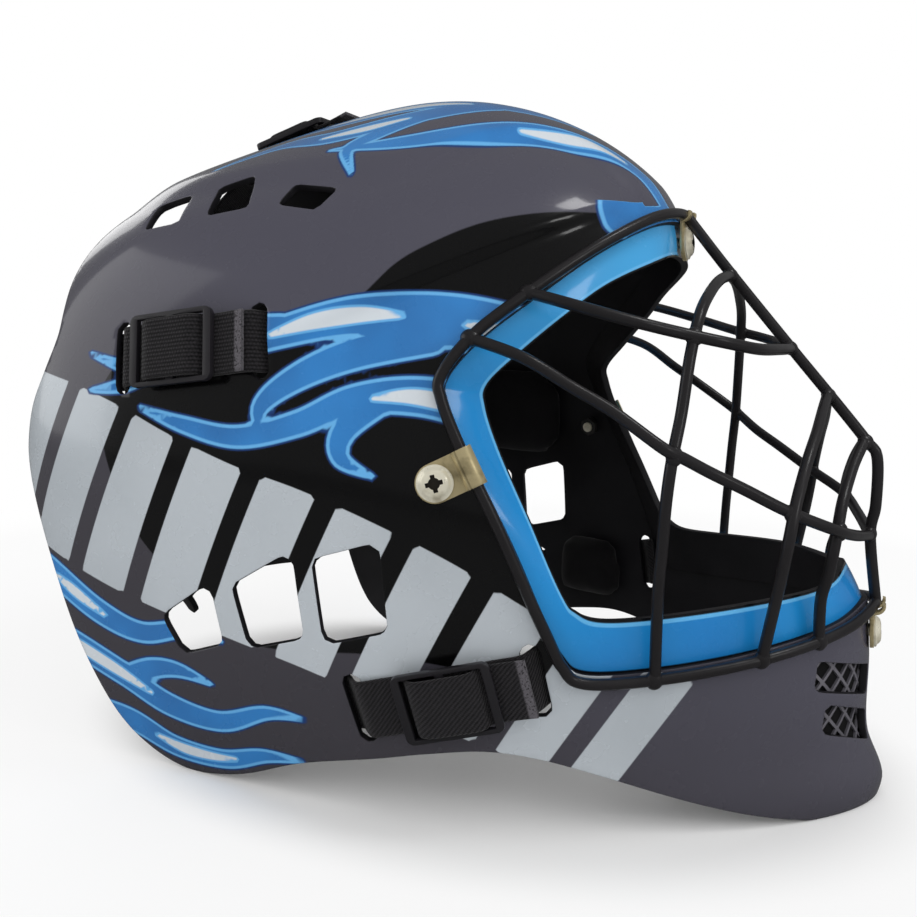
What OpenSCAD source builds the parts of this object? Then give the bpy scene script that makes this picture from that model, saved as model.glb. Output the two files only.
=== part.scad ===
// Floorball goalkeeper helmet: moulded front shell, welded wire cage, webbing, back plate and foam.
// Millimetres. X runs across the head, the face looks along -Y, and Z is up from the resting plane.

/* [Shell] */
// Half of the shell's greatest width, at the cheeks
shell_half_w = 118; // [108:1:128]
// Height of the crown above the resting plane
shell_h = 276; // [262:1:290]
// Distance of the chin lip in front of the origin
chin_reach = 170.4; // [162:0.2:180]
// Distance of the cheek panels' rear tip behind the origin
cheek_reach = 166; // [158:1:174]
// Thickness of the moulded wall
wall = 3; // [2.5:0.5:4]
// Height of the raised crest along the crown
crest_h = 3.5; // [0:0.5:5]
// Depth of the hollow under the brow ridge
ridge_d = 4; // [0:0.5:5]
// Depth of the step between the shell and the flange round the face
rim_step = 1.5; // [1:0.1:2]

/* [Vents] */
// Size of the cheek vents against the modelled one
cheek_vent_k = 1; // [0.8:0.05:1.05]
// Size of the crown vents against the modelled one
crown_vent_k = 1; // [0.8:0.05:1.1]
// Corner radius of the vents
vent_r = 4; // [2:0.5:5]
// Height of each chin slot
chin_slot_h = 12; // [8:1:13]

/* [Cage] */
// Diameter of the cage wire
wire_d = 4.2; // [3.5:0.1:5]
// How far the nose of the cage stands behind the chin lip's reach
cage_setback = 10.4; // [2:0.2:16]
// Clearance between the cage rim wire and the shell
cage_gap = 0.7; // [0.5:0.1:0.9]

/* [Clips and screws] */
// Thread diameter of the clip screws
screw_d = 5; // [4:0.5:6]
// Head diameter of the clip screws
screw_head_d = 11; // [10:0.5:12]
// Thickness of the clip plates
clip_t = 1.5; // [1:0.1:2]
// Width of the clip plates
clip_w = 14; // [12:0.5:18]

/* [Webbing and adjusters] */
// Width of the elastic webbing
web_w = 23; // [20:1:26]
// Thickness of the webbing
web_t = 1.5; // [1.2:0.1:1.8]
// Running clearance round the webbing
web_gap = 0.3; // [0.3:0.05:0.5]
// Length of each adjuster frame along the webbing
buckle_l = 36; // [34:1:42]
// Height of each adjuster frame's bars
buckle_t = 2.4; // [2:0.1:3]
// Width of each adjuster frame's cross bars
buckle_bar = 3.2; // [2.5:0.1:4]
// Width of each adjuster frame's side rails
buckle_rail = 1.8; // [1.5:0.1:3]
// Width of the slots that the webbing goes through
slot_w = 7; // [6.5:0.5:8]
// Length of webbing past the adjuster's end bar
tail_l = 12; // [8:1:13]

/* [Back plate] */
// How far the back plate's sides lie inside the shell's greatest half width
plate_inset = 34; // [30:1:40]
// How far the back plate stands behind the cheek panels' rear tip
plate_stand = 4.4; // [-2:0.2:10]
// Height of the back plate's lower edge
plate_z0 = 48; // [40:1:60]
// How far the back plate's upper edge lies under the crown
plate_drop = 64; // [56:1:76]
// Thickness of the back plate
plate_t = 2.5; // [2:0.5:3.5]

/* [Foam] */
// Thickness of the liner pads
foam_t = 11; // [8:1:14]
// Clearance between a pad and what it lies on
foam_gap = 0.95; // [0.6:0.05:1]

/* [Hidden] */
$fn = 20;
eps = 0.01;
// Crown height, reaches and widths that follow from the sizes above
dome_h = shell_h - crest_h;
cage_reach = chin_reach - cage_setback;
plate_half_w = shell_half_w - plate_inset;
plate_reach = cheek_reach + plate_stand;
plate_z1 = shell_h - plate_drop;
// Depth of the tools that cut holes square to the wall
cut_h = 8 * wall;
// Place beside the head from fractions of the reaches and of the crown's height
function on_side(q) = [q[0] * (q[0] < 0 ? chin_reach : cheek_reach), q[1] * shell_h];

// Profile of the shell from the bottom up, one row for each horizontal section: height,
// half width, front, rear and widest place as fractions, then front and rear roundness
SECTIONS = [
  [-0.050, 0.814, -0.960, 1.145, 0.36, 1.6, 4],
  [0.026, 0.873, -1.003, 1.15, 0.36, 1.6, 4],
  [0.103, 0.924, -0.96, 1.157, 0.36, 1.6, 4],
  [0.22, 0.975, -0.951, 1.175, 0.36, 1.6, 4],
  [0.349, 1, -0.921, 1.18, 0.36, 1.6, 4],
  [0.477, 0.992, -0.839, 1.18, 0.35, 1.6, 4],
  [0.606, 0.953, -0.692, 1.169, 0.33, 1.65, 3.8],
  [0.716, 0.881, -0.569, 1.133, 0.3, 1.85, 3.4],
  [0.807, 0.78, -0.487, 1.04, 0.253, 2.1, 2.8],
  [0.87, 0.644, -0.405, 0.9, 0.205, 2.2, 2.4],
  [0.925, 0.47, -0.293, 0.67, 0.169, 2.2, 2.1],
  [0.967, 0.295, -0.158, 0.45, 0.145, 2.1, 2],
  [0.992, 0.145, -0.018, 0.27, 0.127, 2, 2],
  [1, 0, 0.117, 0.12, 0.12, 2, 2]
];
// Edge of the shell round the face, from the brow to the chin: its place as fractions of the
// chin's reach and the crown's height, then the flange's width across, fore-and-aft and up
RIM = [
  [-0.470, 0.830, 0, 0, -15],
  [-0.423, 0.811, 3, -5, -14],
  [-0.335, 0.763, 5, -7, -10.5],
  [-0.252, 0.712, 8.5, -11, -7],
  [-0.164, 0.657, 11.5, -12, -6.5],
  [-0.112, 0.606, 14.5, -11.5, -3.5],
  [-0.117, 0.576, 14.5, -11, -3],
  [-0.164, 0.514, 14.5, -8.5, -0.5],
  [-0.247, 0.415, 12, -7.5, 1],
  [-0.335, 0.294, 7.5, -4.5, 10],
  [-0.370, 0.246, 5.5, -3, 18],
  [-0.411, 0.224, 5, -4, 21],
  [-0.540, 0.228, 2.5, 0, 21],
  [-0.728, 0.246, 2, 0, 20],
  [-0.880, 0.268, 1, 5, 16],
  [-0.939, 0.286, 0, 9.5, 15]
];
// Free rear edge of the shell seen from the side, from the crown down, as fractions of the
// cheeks' reach and the crown's height
REAR_EDGE = [
  [0.78, 1.1], [0.795, 0.95], [0.83, 0.9], [0.88, 0.855], [0.915, 0.81], [0.922, 0.77], [0.918, 0.72],
  [0.905, 0.67], [0.905, 0.635], [0.94, 0.585], [0.985, 0.535], [1, 0.485], [0.985, 0.44], [0.92, 0.35],
  [0.88, 0.29], [0.81, 0.172], [0.74, 0.085], [0.66, 0.022], [0.58, -0.05]
];
// Lower edge of the shell from the rear to the chin, as fractions of the reaches and the height
LOWER_EDGE = [
  [0.62, 0], [0.5, 0], [0.37, 0.0167], [0.2, 0.058], [0, 0.087], [-0.1, 0.1014], [-0.22, 0.1123],
  [-0.33, 0.1051], [-0.45, 0.0833], [-0.6, 0.0507], [-0.74, 0.0217], [-0.86, 0]
];

// General helpers
function clamp01(t) = min(max(t, 0), 1);
function smooth(t) = let(c = clamp01(t)) c * c * (3 - 2 * c);
function unit(v) = v / norm(v);
function lerp(a, b, t) = a + (b - a) * t;
function mirrored(p) = [-p.x, p.y, p.z];
function curve_step(a, b, c, d, t) =
  0.5 * (2 * b + (c - a) * t + (2 * a - 5 * b + 4 * c - d) * t * t + (3 * b - a - 3 * c + d) * t * t * t);
// Smooth curve through the rows of P, with t from 0 to 1
function along(P, t) =
  let(n = len(P) - 1, s = clamp01(t) * n, i = min(floor(s), n - 1))
  curve_step(P[max(i - 1, 0)], P[i], P[i + 1], P[min(i + 2, n)], s - i);
function resample(P, n) = [for (i = [0:n]) along(P, i / n)];

// Solids swept or lofted through rings of points, each ring counter-clockwise about the path
function side_faces(m, n, closed) = [
  for (i = [0:(closed ? m - 1 : m - 2)], j = [0:n - 1])
    let(a = i * n + j, b = i * n + (j + 1) % n, c = ((i + 1) % m) * n + (j + 1) % n, d = ((i + 1) % m) * n + j)
    each [[a, d, c], [a, c, b]]
];
module loft(rings, closed = false) {
  m = len(rings);
  n = len(rings[0]);
  caps = closed ? [] : [[for (j = [0:n - 1]) j], [for (j = [n - 1:-1:0]) (m - 1) * n + j]];
  polyhedron(points = [for (r = rings) each r], faces = concat(side_faces(m, n, closed), caps));
}
function tangent(P, i, closed = false) =
  let(n = len(P), a = closed ? (i + n - 1) % n : max(i - 1, 0), b = closed ? (i + 1) % n : min(i + 1, n - 1))
  unit(P[b] - P[a]);
function wire_ring(p, t, ref, r) =
  let(u = unit(cross(t, ref)), v = cross(t, u)) [for (k = [0:7]) p + r * (cos(45 * k) * u + sin(45 * k) * v)];
module wire(path, ref) {
  loft([for (i = [0:len(path) - 1]) wire_ring(path[i], tangent(path, i), ref, wire_d / 2)]);
}
// Flat band along a path, with the outward direction of its face given at each point
module band(path, out, width, thick) {
  loft([
    for (i = [0:len(path) - 1])
      let(t = tangent(path, i), w = unit(cross(out[i], t)), a = w * width / 2, b = cross(t, w) * thick / 2)
      [path[i] - a - b, path[i] + a - b, path[i] + a + b, path[i] - a + b]
  ]);
}
// Closed slab between two grids of points, rows running up and columns from the face to the back
module slab(outer, inner) {
  m = len(outer);
  n = len(outer[0]);
  k = m * n;
  function cell(i, j) = [i * n + j, i * n + j + 1, (i + 1) * n + j + 1, (i + 1) * n + j];
  polyhedron(
    points = concat([for (r = outer) each r], [for (r = inner) each r]),
    faces = concat(
      [for (i = [0:m - 2], j = [0:n - 2]) let(c = cell(i, j)) each [[c[0], c[3], c[2]], [c[0], c[2], c[1]]]],
      [for (i = [0:m - 2], j = [0:n - 2]) let(c = cell(i, j)) each [[k + c[0], k + c[2], k + c[3]], [k + c[0], k + c[1], k + c[2]]]],
      [for (j = [0:n - 2]) each [[j, j + 1, k + j + 1], [j, k + j + 1, k + j]]],
      [for (j = [0:n - 2]) let(q = (m - 1) * n + j) each [[q + 1, q, k + q], [q + 1, k + q, k + q + 1]]],
      [for (i = [0:m - 2]) let(q = i * n, t = q + n) each [[t, q, k + q], [t, k + q, k + t]]],
      [for (i = [0:m - 2]) let(q = i * n + n - 1, t = q + n) each [[q, t, k + t], [q, k + t, k + q]]]
    )
  );
}
module both_sides() {
  children();
  mirror([1, 0, 0]) children();
}
module place(p, t, b, n) {
  multmatrix([[t.x, b.x, n.x, p.x], [t.y, b.y, n.y, p.y], [t.z, b.z, n.z, p.z], [0, 0, 0, 1]]) children();
}

// Outer surface of the shell: level runs from the bottom to the crown and angle from the
// face (0) past the wearer's left ear (90) to the back (180)
crest_front_w = 0.2542 * shell_half_w;
crest_rear_w = 0.6441 * shell_half_w;
crest_z = 0.8152 * shell_h;
ridge_rear_y = 0.3313 * cheek_reach;
ridge_rear_z = 0.6232 * shell_h;
ridge_slope = 0.486;
function crest_w(y) = lerp(crest_front_w, crest_rear_w, smooth((y + 45) / 65));
function crest_rise(p) = crest_h * smooth((crest_w(p.y) - abs(p.x)) / 12 + 0.5) * smooth((p.z - crest_z) / 12);
function hollow(p) =
  let(below = ridge_rear_z + ridge_slope * (ridge_rear_y - p.y) - p.z)
  ridge_d * smooth(below / 8) * (1 - smooth((below - 12) / 30)) * smooth((60 - p.y) / 60)
  * smooth((abs(p.x) - 12) / 40);
function relief(p) =
  let(side = abs(p.x), k = side > 1 ? max(side - hollow(p), 0) / side : 1) [p.x * k, p.y, p.z + crest_rise(p)];
function section(level) =
  let(s = along(SECTIONS, level))
  [s[0] * dome_h, max(s[1], 0) * shell_half_w, s[2] * chin_reach, s[3] * cheek_reach, s[4] * cheek_reach, s[5], s[6]];
function section_point(s, angle) =
  let(c = cos(angle), k = c >= 0 ? s[5] : s[6], x = sign(sin(angle)) * s[1] * pow(abs(sin(angle)), 2 / k))
  [x, c >= 0 ? s[4] - (s[4] - s[2]) * c : s[4] + (s[3] - s[4]) * pow(-c, 2 / k), s[0]];
function skin_point(level, angle) = relief(section_point(section(level), angle));
function normal(level, angle) =
  let(l = min(level, 0.985), d = 0.006, g = 1.5)
  unit(cross(skin_point(l, angle + g) - skin_point(l, angle - g), skin_point(l + d, angle) - skin_point(l - d, angle)));
function inset(level, angle, depth) = skin_point(level, angle) - depth * normal(level, angle);
function level_at(z, lo = 0, hi = 1, n = 16) =
  n == 0 ? (lo + hi) / 2
  : let(m = (lo + hi) / 2) along(SECTIONS, m)[0] * dome_h < z ? level_at(z, m, hi, n - 1) : level_at(z, lo, m, n - 1);
function angle_at(level, y) =
  let(s = section(level))
  y < s[4] ? acos(min((s[4] - y) / (s[4] - s[2]), 1)) : acos(-pow(min((y - s[4]) / (s[3] - s[4]), 1), s[6] / 2));
// Point at the given depth under the left cheek's surface, and the surface's normal there
function cheek(y, z, depth = 0) = let(l = level_at(z)) inset(l, angle_at(l, y), depth);
function cheek_normal(y, z) = let(l = level_at(z)) normal(l, angle_at(l, y));

shell_levels = 20;
shell_angles = 46;
module skin(depth) {
  n = shell_angles;
  m = shell_levels;
  rings = [for (i = [0:m - 1], j = [0:n - 1]) inset(i / m, 360 * j / n, depth)];
  top = skin_point(1, 0) - [0, 0, depth];
  bottom = [0, 0, rings[0].z];
  polyhedron(
    points = concat(rings, [top, bottom]),
    faces = concat(
      side_faces(m, n, false),
      [for (j = [0:n - 1]) [(m - 1) * n + j, m * n, (m - 1) * n + (j + 1) % n]],
      [for (j = [0:n - 1]) [(j + 1) % n, m * n + 1, j]]
    )
  );
}

// Rim of the face opening: point on the surface, its normal, the flange's lip and its inward side
function rim_row(v) =
  let(r = along(RIM, v), y = r[0] * chin_reach, z = r[1] * dome_h, l = level_at(z), a = v <= 0 || v >= 1 ? 0 : angle_at(l, y))
  [skin_point(l, a), normal(l, a), [-r[2], r[3], r[4]], y, z];
rim_n = 30;
RIM_ROWS = [for (i = [0:rim_n]) rim_row(i / rim_n)];
function rim_lip(r) = [max(r[0].x + r[2].x, 0), r[0].y + r[2].y, r[0].z + r[2].z];
function rim_in(i) =
  let(t = RIM_ROWS[min(i + 1, rim_n)][0] - RIM_ROWS[max(i - 1, 0)][0], r = RIM_ROWS[i])
  i == 0 || i == rim_n ? let(m = cross([1, 0, 0], i == 0 ? r[2] : -r[2])) unit(m) : unit(cross(t, rim_lip(r) - r[0]));
function flange_ring(i) =
  let(r = RIM_ROWS[i], m = rim_in(i), a = r[0] - rim_step * r[1], b = rim_lip(r), flat = i == 0 || i == rim_n)
  [for (p = [a, b, b + wall * m, a + wall * m]) flat ? [0, p.y, p.z] : p];
function around_points(half) = concat(half, [for (i = [len(half) - 2:-1:1]) mirrored(half[i])]);
function around(half) = concat(half, [for (i = [len(half) - 2:-1:1]) [for (p = half[i]) mirrored(p)]]);
module flange() {
  loft(around([for (i = [0:rim_n]) flange_ring(i)]), true);
}

rim_lap = 2;
module face_cut() {
  edge = [
    for (r = RIM_ROWS)
      let(d = unit([r[2].y, r[2].z])) [r[3], r[4]] + rim_lap * d
  ];
  front = -1.5 * chin_reach;
  side_prism(concat(edge, [[front, edge[rim_n].y], [front, edge[0].y]]));
}
// Prism across the whole head from an outline in Y and Z
module side_prism(outline) {
  rotate([90, 0, 90]) linear_extrude(3 * shell_half_w, center = true) polygon(outline);
}
module rear_cut() {
  edge = [for (p = resample(REAR_EDGE, 22)) [p.x * cheek_reach, p.y * dome_h]];
  back = 2 * cheek_reach;
  side_prism(concat(edge, [[back, edge[22].y], [back, edge[0].y]]));
}
module lower_cut() {
  edge = [for (q = LOWER_EDGE) on_side(q)];
  low = -60;
  far = 2 * cheek_reach;
  side_prism(concat([[far, low], [far, 0]], resample(edge, 22), [[-far, 0], [-far, low]]));
  translate([-far, -far, low]) cube([2 * far, 2 * far, -low]);
}

// Rounded four-sided hole cut square to the cheek's surface, through four places beside the head
module vent(corners, k, r = vent_r) {
  P = [for (c = corners) let(q = on_side(c)) cheek(q[0], q[1])];
  q = (on_side(corners[0]) + on_side(corners[1]) + on_side(corners[2]) + on_side(corners[3])) / 4;
  p = cheek(q[0], q[1]);
  n = cheek_normal(q[0], q[1]);
  t = unit([0, -1, 0] + n * n.y);
  b = cross(n, t);
  flat = [for (c = P) k * [(c - p) * t, (c - p) * b]];
  place(p, t, b, n) hull() for (c = flat)
    translate([c.x - sign(c.x) * r, c.y - sign(c.y) * r, 0]) cylinder(r = r, h = cut_h, center = true, $fn = 8);
}
// Corners of the cheek vents and crown vents, rear to front, as fractions
CHEEK_VENTS = [
  [[0.5000, 0.2022], [0.3723, 0.2196], [0.3880, 0.3014], [0.5301, 0.2623]],
  [[0.3078, 0.2286], [0.1633, 0.2464], [0.1795, 0.3598], [0.3331, 0.3199]],
  [[0.1187, 0.2496], [-0.0270, 0.2674], [-0.0135, 0.3851], [0.1355, 0.3649]]
];
CROWN_VENTS = [
  [[0.7054, 0.7855], [0.5982, 0.7938], [0.6108, 0.8351], [0.7175, 0.8236]],
  [[0.5175, 0.8040], [0.4090, 0.8123], [0.4343, 0.8543], [0.5319, 0.8438]],
  [[0.3241, 0.8152], [0.2151, 0.8083], [0.1946, 0.8395], [0.3127, 0.8449]]
];
module vents() {
  for (v = CHEEK_VENTS) vent(v, cheek_vent_k);
  for (v = CROWN_VENTS) vent(v, crown_vent_k, vent_r / 2);
}

// Webbing runs: for the upper and lower run the rear and front slots beside the head, and for
// the top run its slots on the crown, with the place of each adjuster along the run
UPPER = [for (q = [[0.6536, 0.6051], [0.2910, 0.6359]]) on_side(q)];
LOWER = [for (q = [[0.0422, 0.1594], [-0.3228, 0.2174]]) on_side(q)];
TOP = [0.7349 * cheek_reach, 0.4337 * cheek_reach];
upper_buckle_at = 27;
lower_buckle_at = 34;
top_buckle_at = 26;
web_up = web_gap + web_t / 2;
function run_dir(r) = unit(r[1] - r[0]);
function run_at(r, s) = let(d = run_dir(r), q = r[0] + s * d) q;
function run_len(r) = norm(r[1] - r[0]);
function top_level(y, lo = 0.4, hi = 1, n = 18) =
  n == 0 ? (lo + hi) / 2
  : let(m = (lo + hi) / 2) section(m)[3] > y ? top_level(y, m, hi, n - 1) : top_level(y, lo, m, n - 1);
function top_point(y, depth = 0) = inset(top_level(y), 180, depth);
function top_normal(y) = normal(top_level(y), 180);

// Slot square to the surface, its width lying along the webbing
module slot(p, t, n, length, thick = cut_h) {
  b = cross(n, t);
  place(p, t, b, n) hull() for (j = [-1, 1])
    translate([0, j * (length - slot_w) / 2, 0]) cylinder(d = slot_w, h = thick, center = true, $fn = 8);
}
slot_l = web_w + slot_w;
module cheek_slot(q, d) {
  p = cheek(q[0], q[1]);
  n = cheek_normal(q[0], q[1]);
  t = let(v = cheek(q[0] + d[0], q[1] + d[1]) - p) unit(v - n * (v * n));
  slot(p, t, n, slot_l);
}
module top_slot(y) {
  n = top_normal(y);
  slot(top_point(y), unit(cross([1, 0, 0], n)), n, slot_l);
}
module web_slots() {
  for (r = [UPPER, LOWER], q = r) both_sides() cheek_slot(q, run_dir(r));
  for (y = TOP) top_slot(y);
}

// Chin slots: the height of each row at the middle, its rise towards the side and its reach
CHIN_SLOTS = [
  [0.1721 * shell_h, 0.0308 * shell_h, 0.3051 * shell_half_w], [0.1051 * shell_h, 0.0326 * shell_h, 0.2627 * shell_half_w]
];
chin_bridge = 6;
module chin_slots() {
  for (c = CHIN_SLOTS, m = [0, 1]) mirror([m, 0, 0]) translate([0, -0.7 * chin_reach, 0]) rotate([90, 0, 0])
    linear_extrude(0.6 * chin_reach) {
      a = chin_bridge / 2;
      polygon([
        [a, c[0] - chin_slot_h / 2], [c[2] - 2, c[0] + c[1] - chin_slot_h / 2],
        [c[2], c[0] + c[1] - chin_slot_h / 2 + 2], [c[2] - 1, c[0] + c[1] + chin_slot_h / 2],
        [a, c[0] + chin_slot_h / 2]
      ]);
    }
}

// Clips: the clip's foot on the shell, the shell's normal there and the rim wire's nearest point
function rim_wire(v) = let(r = rim_row(v)) r[0] + (wire_d / 2 + cage_gap) * r[1];
side_clip_v = 0.482;
side_clip_reach = 13;
chin_clip_z = 0.2409 * shell_h;
function foot_side() =
  let(
    q = rim_wire(side_clip_v), d = unit(rim_wire(side_clip_v + 0.01) - rim_wire(side_clip_v - 0.01)),
    y = q.y - side_clip_reach * d.z, z = q.z + side_clip_reach * d.y
  )
  [cheek(y, z), cheek_normal(y, z), q];
function foot_front(z, v) = let(l = level_at(z)) [skin_point(l, 0), normal(l, 0), rim_wire(v)];
module clip_place(f) {
  n = f[1];
  v = f[2] - f[0];
  t = unit(v - n * (v * n));
  place(f[0], t, cross(n, t), n) children();
}
function clip_run(f) = let(n = f[1], v = f[2] - f[0]) norm(v - n * (v * n));
function clip_rise(f) = (f[2] - f[0]) * f[1];
clip_gap = 0.2;
module clip(f, notch = false, slack = 0) {
  run = clip_run(f);
  rise = clip_rise(f);
  r = wire_d / 2 + clip_gap + slack;
  color("Tan") clip_place(f) difference() {
    intersection() {
      rotate([90, 0, 0]) linear_extrude(clip_w, center = true) difference() {
        union() {
          translate([-clip_w, clip_gap]) square([clip_w + run, clip_t]);
          translate([run, rise]) circle(r + clip_t);
        }
        translate([run, rise]) circle(r);
        translate([-2 * clip_w, clip_gap - 4 * clip_w]) square([6 * clip_w, 4 * clip_w]);
        translate([run, rise + 0.3 - 4 * clip_w]) square([4 * clip_w, 4 * clip_w]);
      }
      union() {
        cylinder(d = clip_w, h = 3 * clip_w, center = true);
        translate([0, -clip_w / 2, -clip_w]) cube([3 * clip_w, clip_w, 3 * clip_w]);
      }
    }
    cylinder(d = screw_d + 2 * clip_gap, h = 6 * clip_t, center = true);
    if (notch) translate([run - r - clip_t - 0.3, -0.65 * wire_d, clip_gap]) cube([4 * wire_d, 1.3 * wire_d, 4 * wire_d]);
  }
}
screw_head_h = 3;
nut_af = 1.6;
nut_h = 4;
nut_gap = 1.2;
module screw(f) {
  r = screw_head_d / 2;
  color("Silver") clip_place(f) translate([0, 0, clip_gap + clip_t + 0.05]) {
    difference() {
      rotate_extrude($fn = 16) polygon([
        [0, 0], [r, 0], [r, 0.2 * screw_head_h], [0.86 * r, 0.6 * screw_head_h],
        [0.55 * r, 0.9 * screw_head_h], [0, screw_head_h]
      ]);
      for (a = [0, 90]) rotate(a) translate([0, 0, screw_head_h]) cube([0.4 * screw_head_d, 1.2, screw_head_h], center = true);
    }
    translate([0, 0, -(wall + nut_h + clip_t + 2.5)]) cylinder(d = screw_d, h = wall + nut_h + clip_t + 2.5 + eps, $fn = 12);
  }
}
module nut(f, lift = 0) {
  color("DimGray") clip_place(f) translate([0, 0, -(wall + nut_gap + lift + nut_h)]) difference() {
    cylinder(d = 2 * screw_d * nut_af / sqrt(3) * 1.05, h = nut_h, $fn = 6);
    translate([0, 0, -1]) cylinder(d = screw_d + 0.15, h = nut_h + 2, $fn = 12);
  }
}
module screw_holes() {
  both_sides() clip_place(foot_side()) cylinder(d = screw_d + 0.4, h = 12, center = true);
  for (f = [foot_chin(), foot_brow()]) clip_place(f) cylinder(d = screw_d + 0.4, h = 22, center = true);
}
function foot_chin() = foot_front(chin_clip_z, 1);
brow_lift = 2.2;
function foot_brow() =
  let(r = RIM_ROWS[0], a = r[0] - rim_step * r[1], b = rim_lip(r), n = unit(cross([1, 0, 0], a - b)))
  [[0, 0.34 * a.y + 0.66 * b.y, 0.34 * a.z + 0.66 * b.z] + brow_lift * n, n, rim_wire(0)];
module clip_left() { clip(foot_side()); }
module clip_right() { mirror([1, 0, 0]) clip(foot_side()); }
module clip_chin() { clip(foot_chin(), true, 1.4); }
module clip_forehead() { clip(foot_brow(), true, 0.8); }
module clip_screws() {
  both_sides() screw(foot_side());
  screw(foot_chin());
  screw(foot_brow());
}
module clip_nuts() {
  both_sides() nut(foot_side());
  nut(foot_chin());
  nut(foot_brow(), brow_lift + 0.6);
}

module shell() {
  color("DimGray") difference() {
    union() {
      difference() {
        skin(0);
        skin(wall);
        face_cut();
        rear_cut();
        lower_cut();
      }
      flange();
    }
    both_sides() vents();
    web_slots();
    chin_slots();
    screw_holes();
  }
}

// Back plate: half width, reach and height of its sections as fractions, from the bottom up
PLATE = [
  [0.66, 0.872, 0], [0.85, 0.927, 0.15], [0.975, 0.985, 0.4], [1, 1, 0.6], [0.93, 0.987, 0.8],
  [0.76, 0.955, 0.93], [0.58, 0.922, 1]
];
plate_rear = 0.66;
function plate_row(z) =
  let(v = plate_v((z - plate_z0) / (plate_z1 - plate_z0)), r = along(PLATE, v)) [r[0] * plate_half_w, r[1] * plate_reach];
function plate_v(q, lo = 0, hi = 1, n = 14) =
  n == 0 ? (lo + hi) / 2
  : let(m = (lo + hi) / 2) along(PLATE, m)[2] < q ? plate_v(q, m, hi, n - 1) : plate_v(q, lo, m, n - 1);
function plate_surface(a, z) =
  let(r = plate_row(z), c = plate_rear * plate_reach) [r[0] * sin(a), c + (r[1] - c) * cos(a), z];
function plate_normal(a, z) =
  let(g = 2, h = 2, zz = min(max(z, plate_z0 + h), plate_z1 - h))
  unit(cross(plate_surface(a, zz + h) - plate_surface(a, zz - h), plate_surface(a + g, zz) - plate_surface(a - g, zz)));
function plate_point(a, z, out = 0) = plate_surface(a, z) + out * plate_normal(a, z);
plate_a = 80;
function plate_grid(out, m, n, a1, z0, z1) = [
  for (i = [0:m]) [for (j = [0:n]) plate_point(lerp(a1, -a1, j / n), lerp(z0, z1, i / m), out)]
];
PLATE_SLOTS = [[59, plate_z1 - 48], [59, plate_z0 + 32]];
plate_top_slot = plate_z1 - 11;
module plate_slot(a, z, dir) {
  n = plate_normal(a, z);
  t = dir == 0 ? let(v = plate_surface(a + 1, z) - plate_surface(a - 1, z)) unit(v) : unit(cross([1, 0, 0], n));
  slot(plate_surface(a, z), unit(t - n * (t * n)), n, slot_l + 2, cut_h / 2);
}
module back_plate() {
  color("DarkSlateGray") difference() {
    slab(plate_grid(0, 9, 13, plate_a, plate_z0, plate_z1), plate_grid(-plate_t, 9, 13, plate_a, plate_z0, plate_z1));
    both_sides() for (q = PLATE_SLOTS) plate_slot(q[0], q[1], 0);
    plate_slot(0, plate_top_slot, 1);
    for (x = [-28, 0, 28], z = [plate_z0 + 26, plate_z1 - 46]) plate_vent(x, z);
  }
}
plate_vent_w = 12;
plate_vent_h = 22;
module plate_vent(x, z) {
  translate([x, plate_reach, z]) rotate([90, 0, 0]) hull() for (j = [-1, 1])
    translate([0, j * (plate_vent_h - plate_vent_w) / 2, 0]) cylinder(d = plate_vent_w, h = plate_reach / 2, center = true, $fn = 12);
}

// Cage wires as fractions of the shell's half width, the cage's reach and the crown's height,
// the last or first point of each lying where the wire is welded to the rim wire
weld_x = 0.35 * wire_d / shell_half_w;
CENTRE_BAR = [
  [0, -0.618, 0.756], [0, -0.7825, 0.644], [0, -0.8756, 0.5817], [0, -0.967, 0.519], [0, -0.995, 0.495],
  [0, -1.0006, 0.428], [0, -0.994, 0.383]
];
UPRIGHT_OUTER = [
  [weld_x, -0.625, 0.747], [0.2, -0.622, 0.738], [0.356, -0.618, 0.719], [0.49, -0.614, 0.69], [0.57, -0.608, 0.638],
  [0.627, -0.603, 0.567], [0.686, -0.597, 0.514], [0.703, -0.591, 0.459], [0.7, -0.5875, 0.4], [0.7, -0.584, 0.338]
];
UPRIGHT_MIDDLE = [
  [weld_x, -0.872, 0.58], [0.12, -0.868, 0.563], [0.25, -0.862, 0.536], [0.365, -0.851, 0.504], [0.46, -0.839, 0.458],
  [0.508, -0.831, 0.411], [0.508, -0.819, 0.356]
];
UPRIGHT_INNER = [
  [weld_x, -0.963, 0.517], [0.12, -0.944, 0.488], [0.254, -0.929, 0.448], [0.33, -0.922, 0.404], [0.347, -0.9125, 0.356],
  [0.339, -0.9, 0.319]
];
BROW_BAR = [
  [0.703, -0.381, 0.697], [0.661, -0.5, 0.679], [0.576, -0.588, 0.666], [0.508, -0.675, 0.655], [0.398, -0.735, 0.647],
  [0.2, -0.768, 0.645], [weld_x, -0.78, 0.644]
];
CHEEK_BAR = [
  [0.8136, -0.292, 0.633], [0.763, -0.394, 0.597], [0.729, -0.475, 0.569], [0.72, -0.581, 0.528], [0.67, -0.619, 0.514],
  [0.61, -0.669, 0.495], [0.551, -0.7375, 0.473], [0.475, -0.825, 0.444], [0.364, -0.919, 0.417], [0.2, -0.962, 0.398],
  [weld_x, -0.992, 0.384]
];
outer_foot_v = 0.8;
middle_foot_v = 0.868;
inner_foot_v = 0.91;
brow_bar_v = 0.205;
cheek_bar_v = 0.275;
function cage(P) = [for (p = P) [p.x * shell_half_w, p.y * cage_reach, p.z * dome_h]];
module bar(path, steps, ref) {
  color("Black") wire(resample(path, steps), ref);
}
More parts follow.
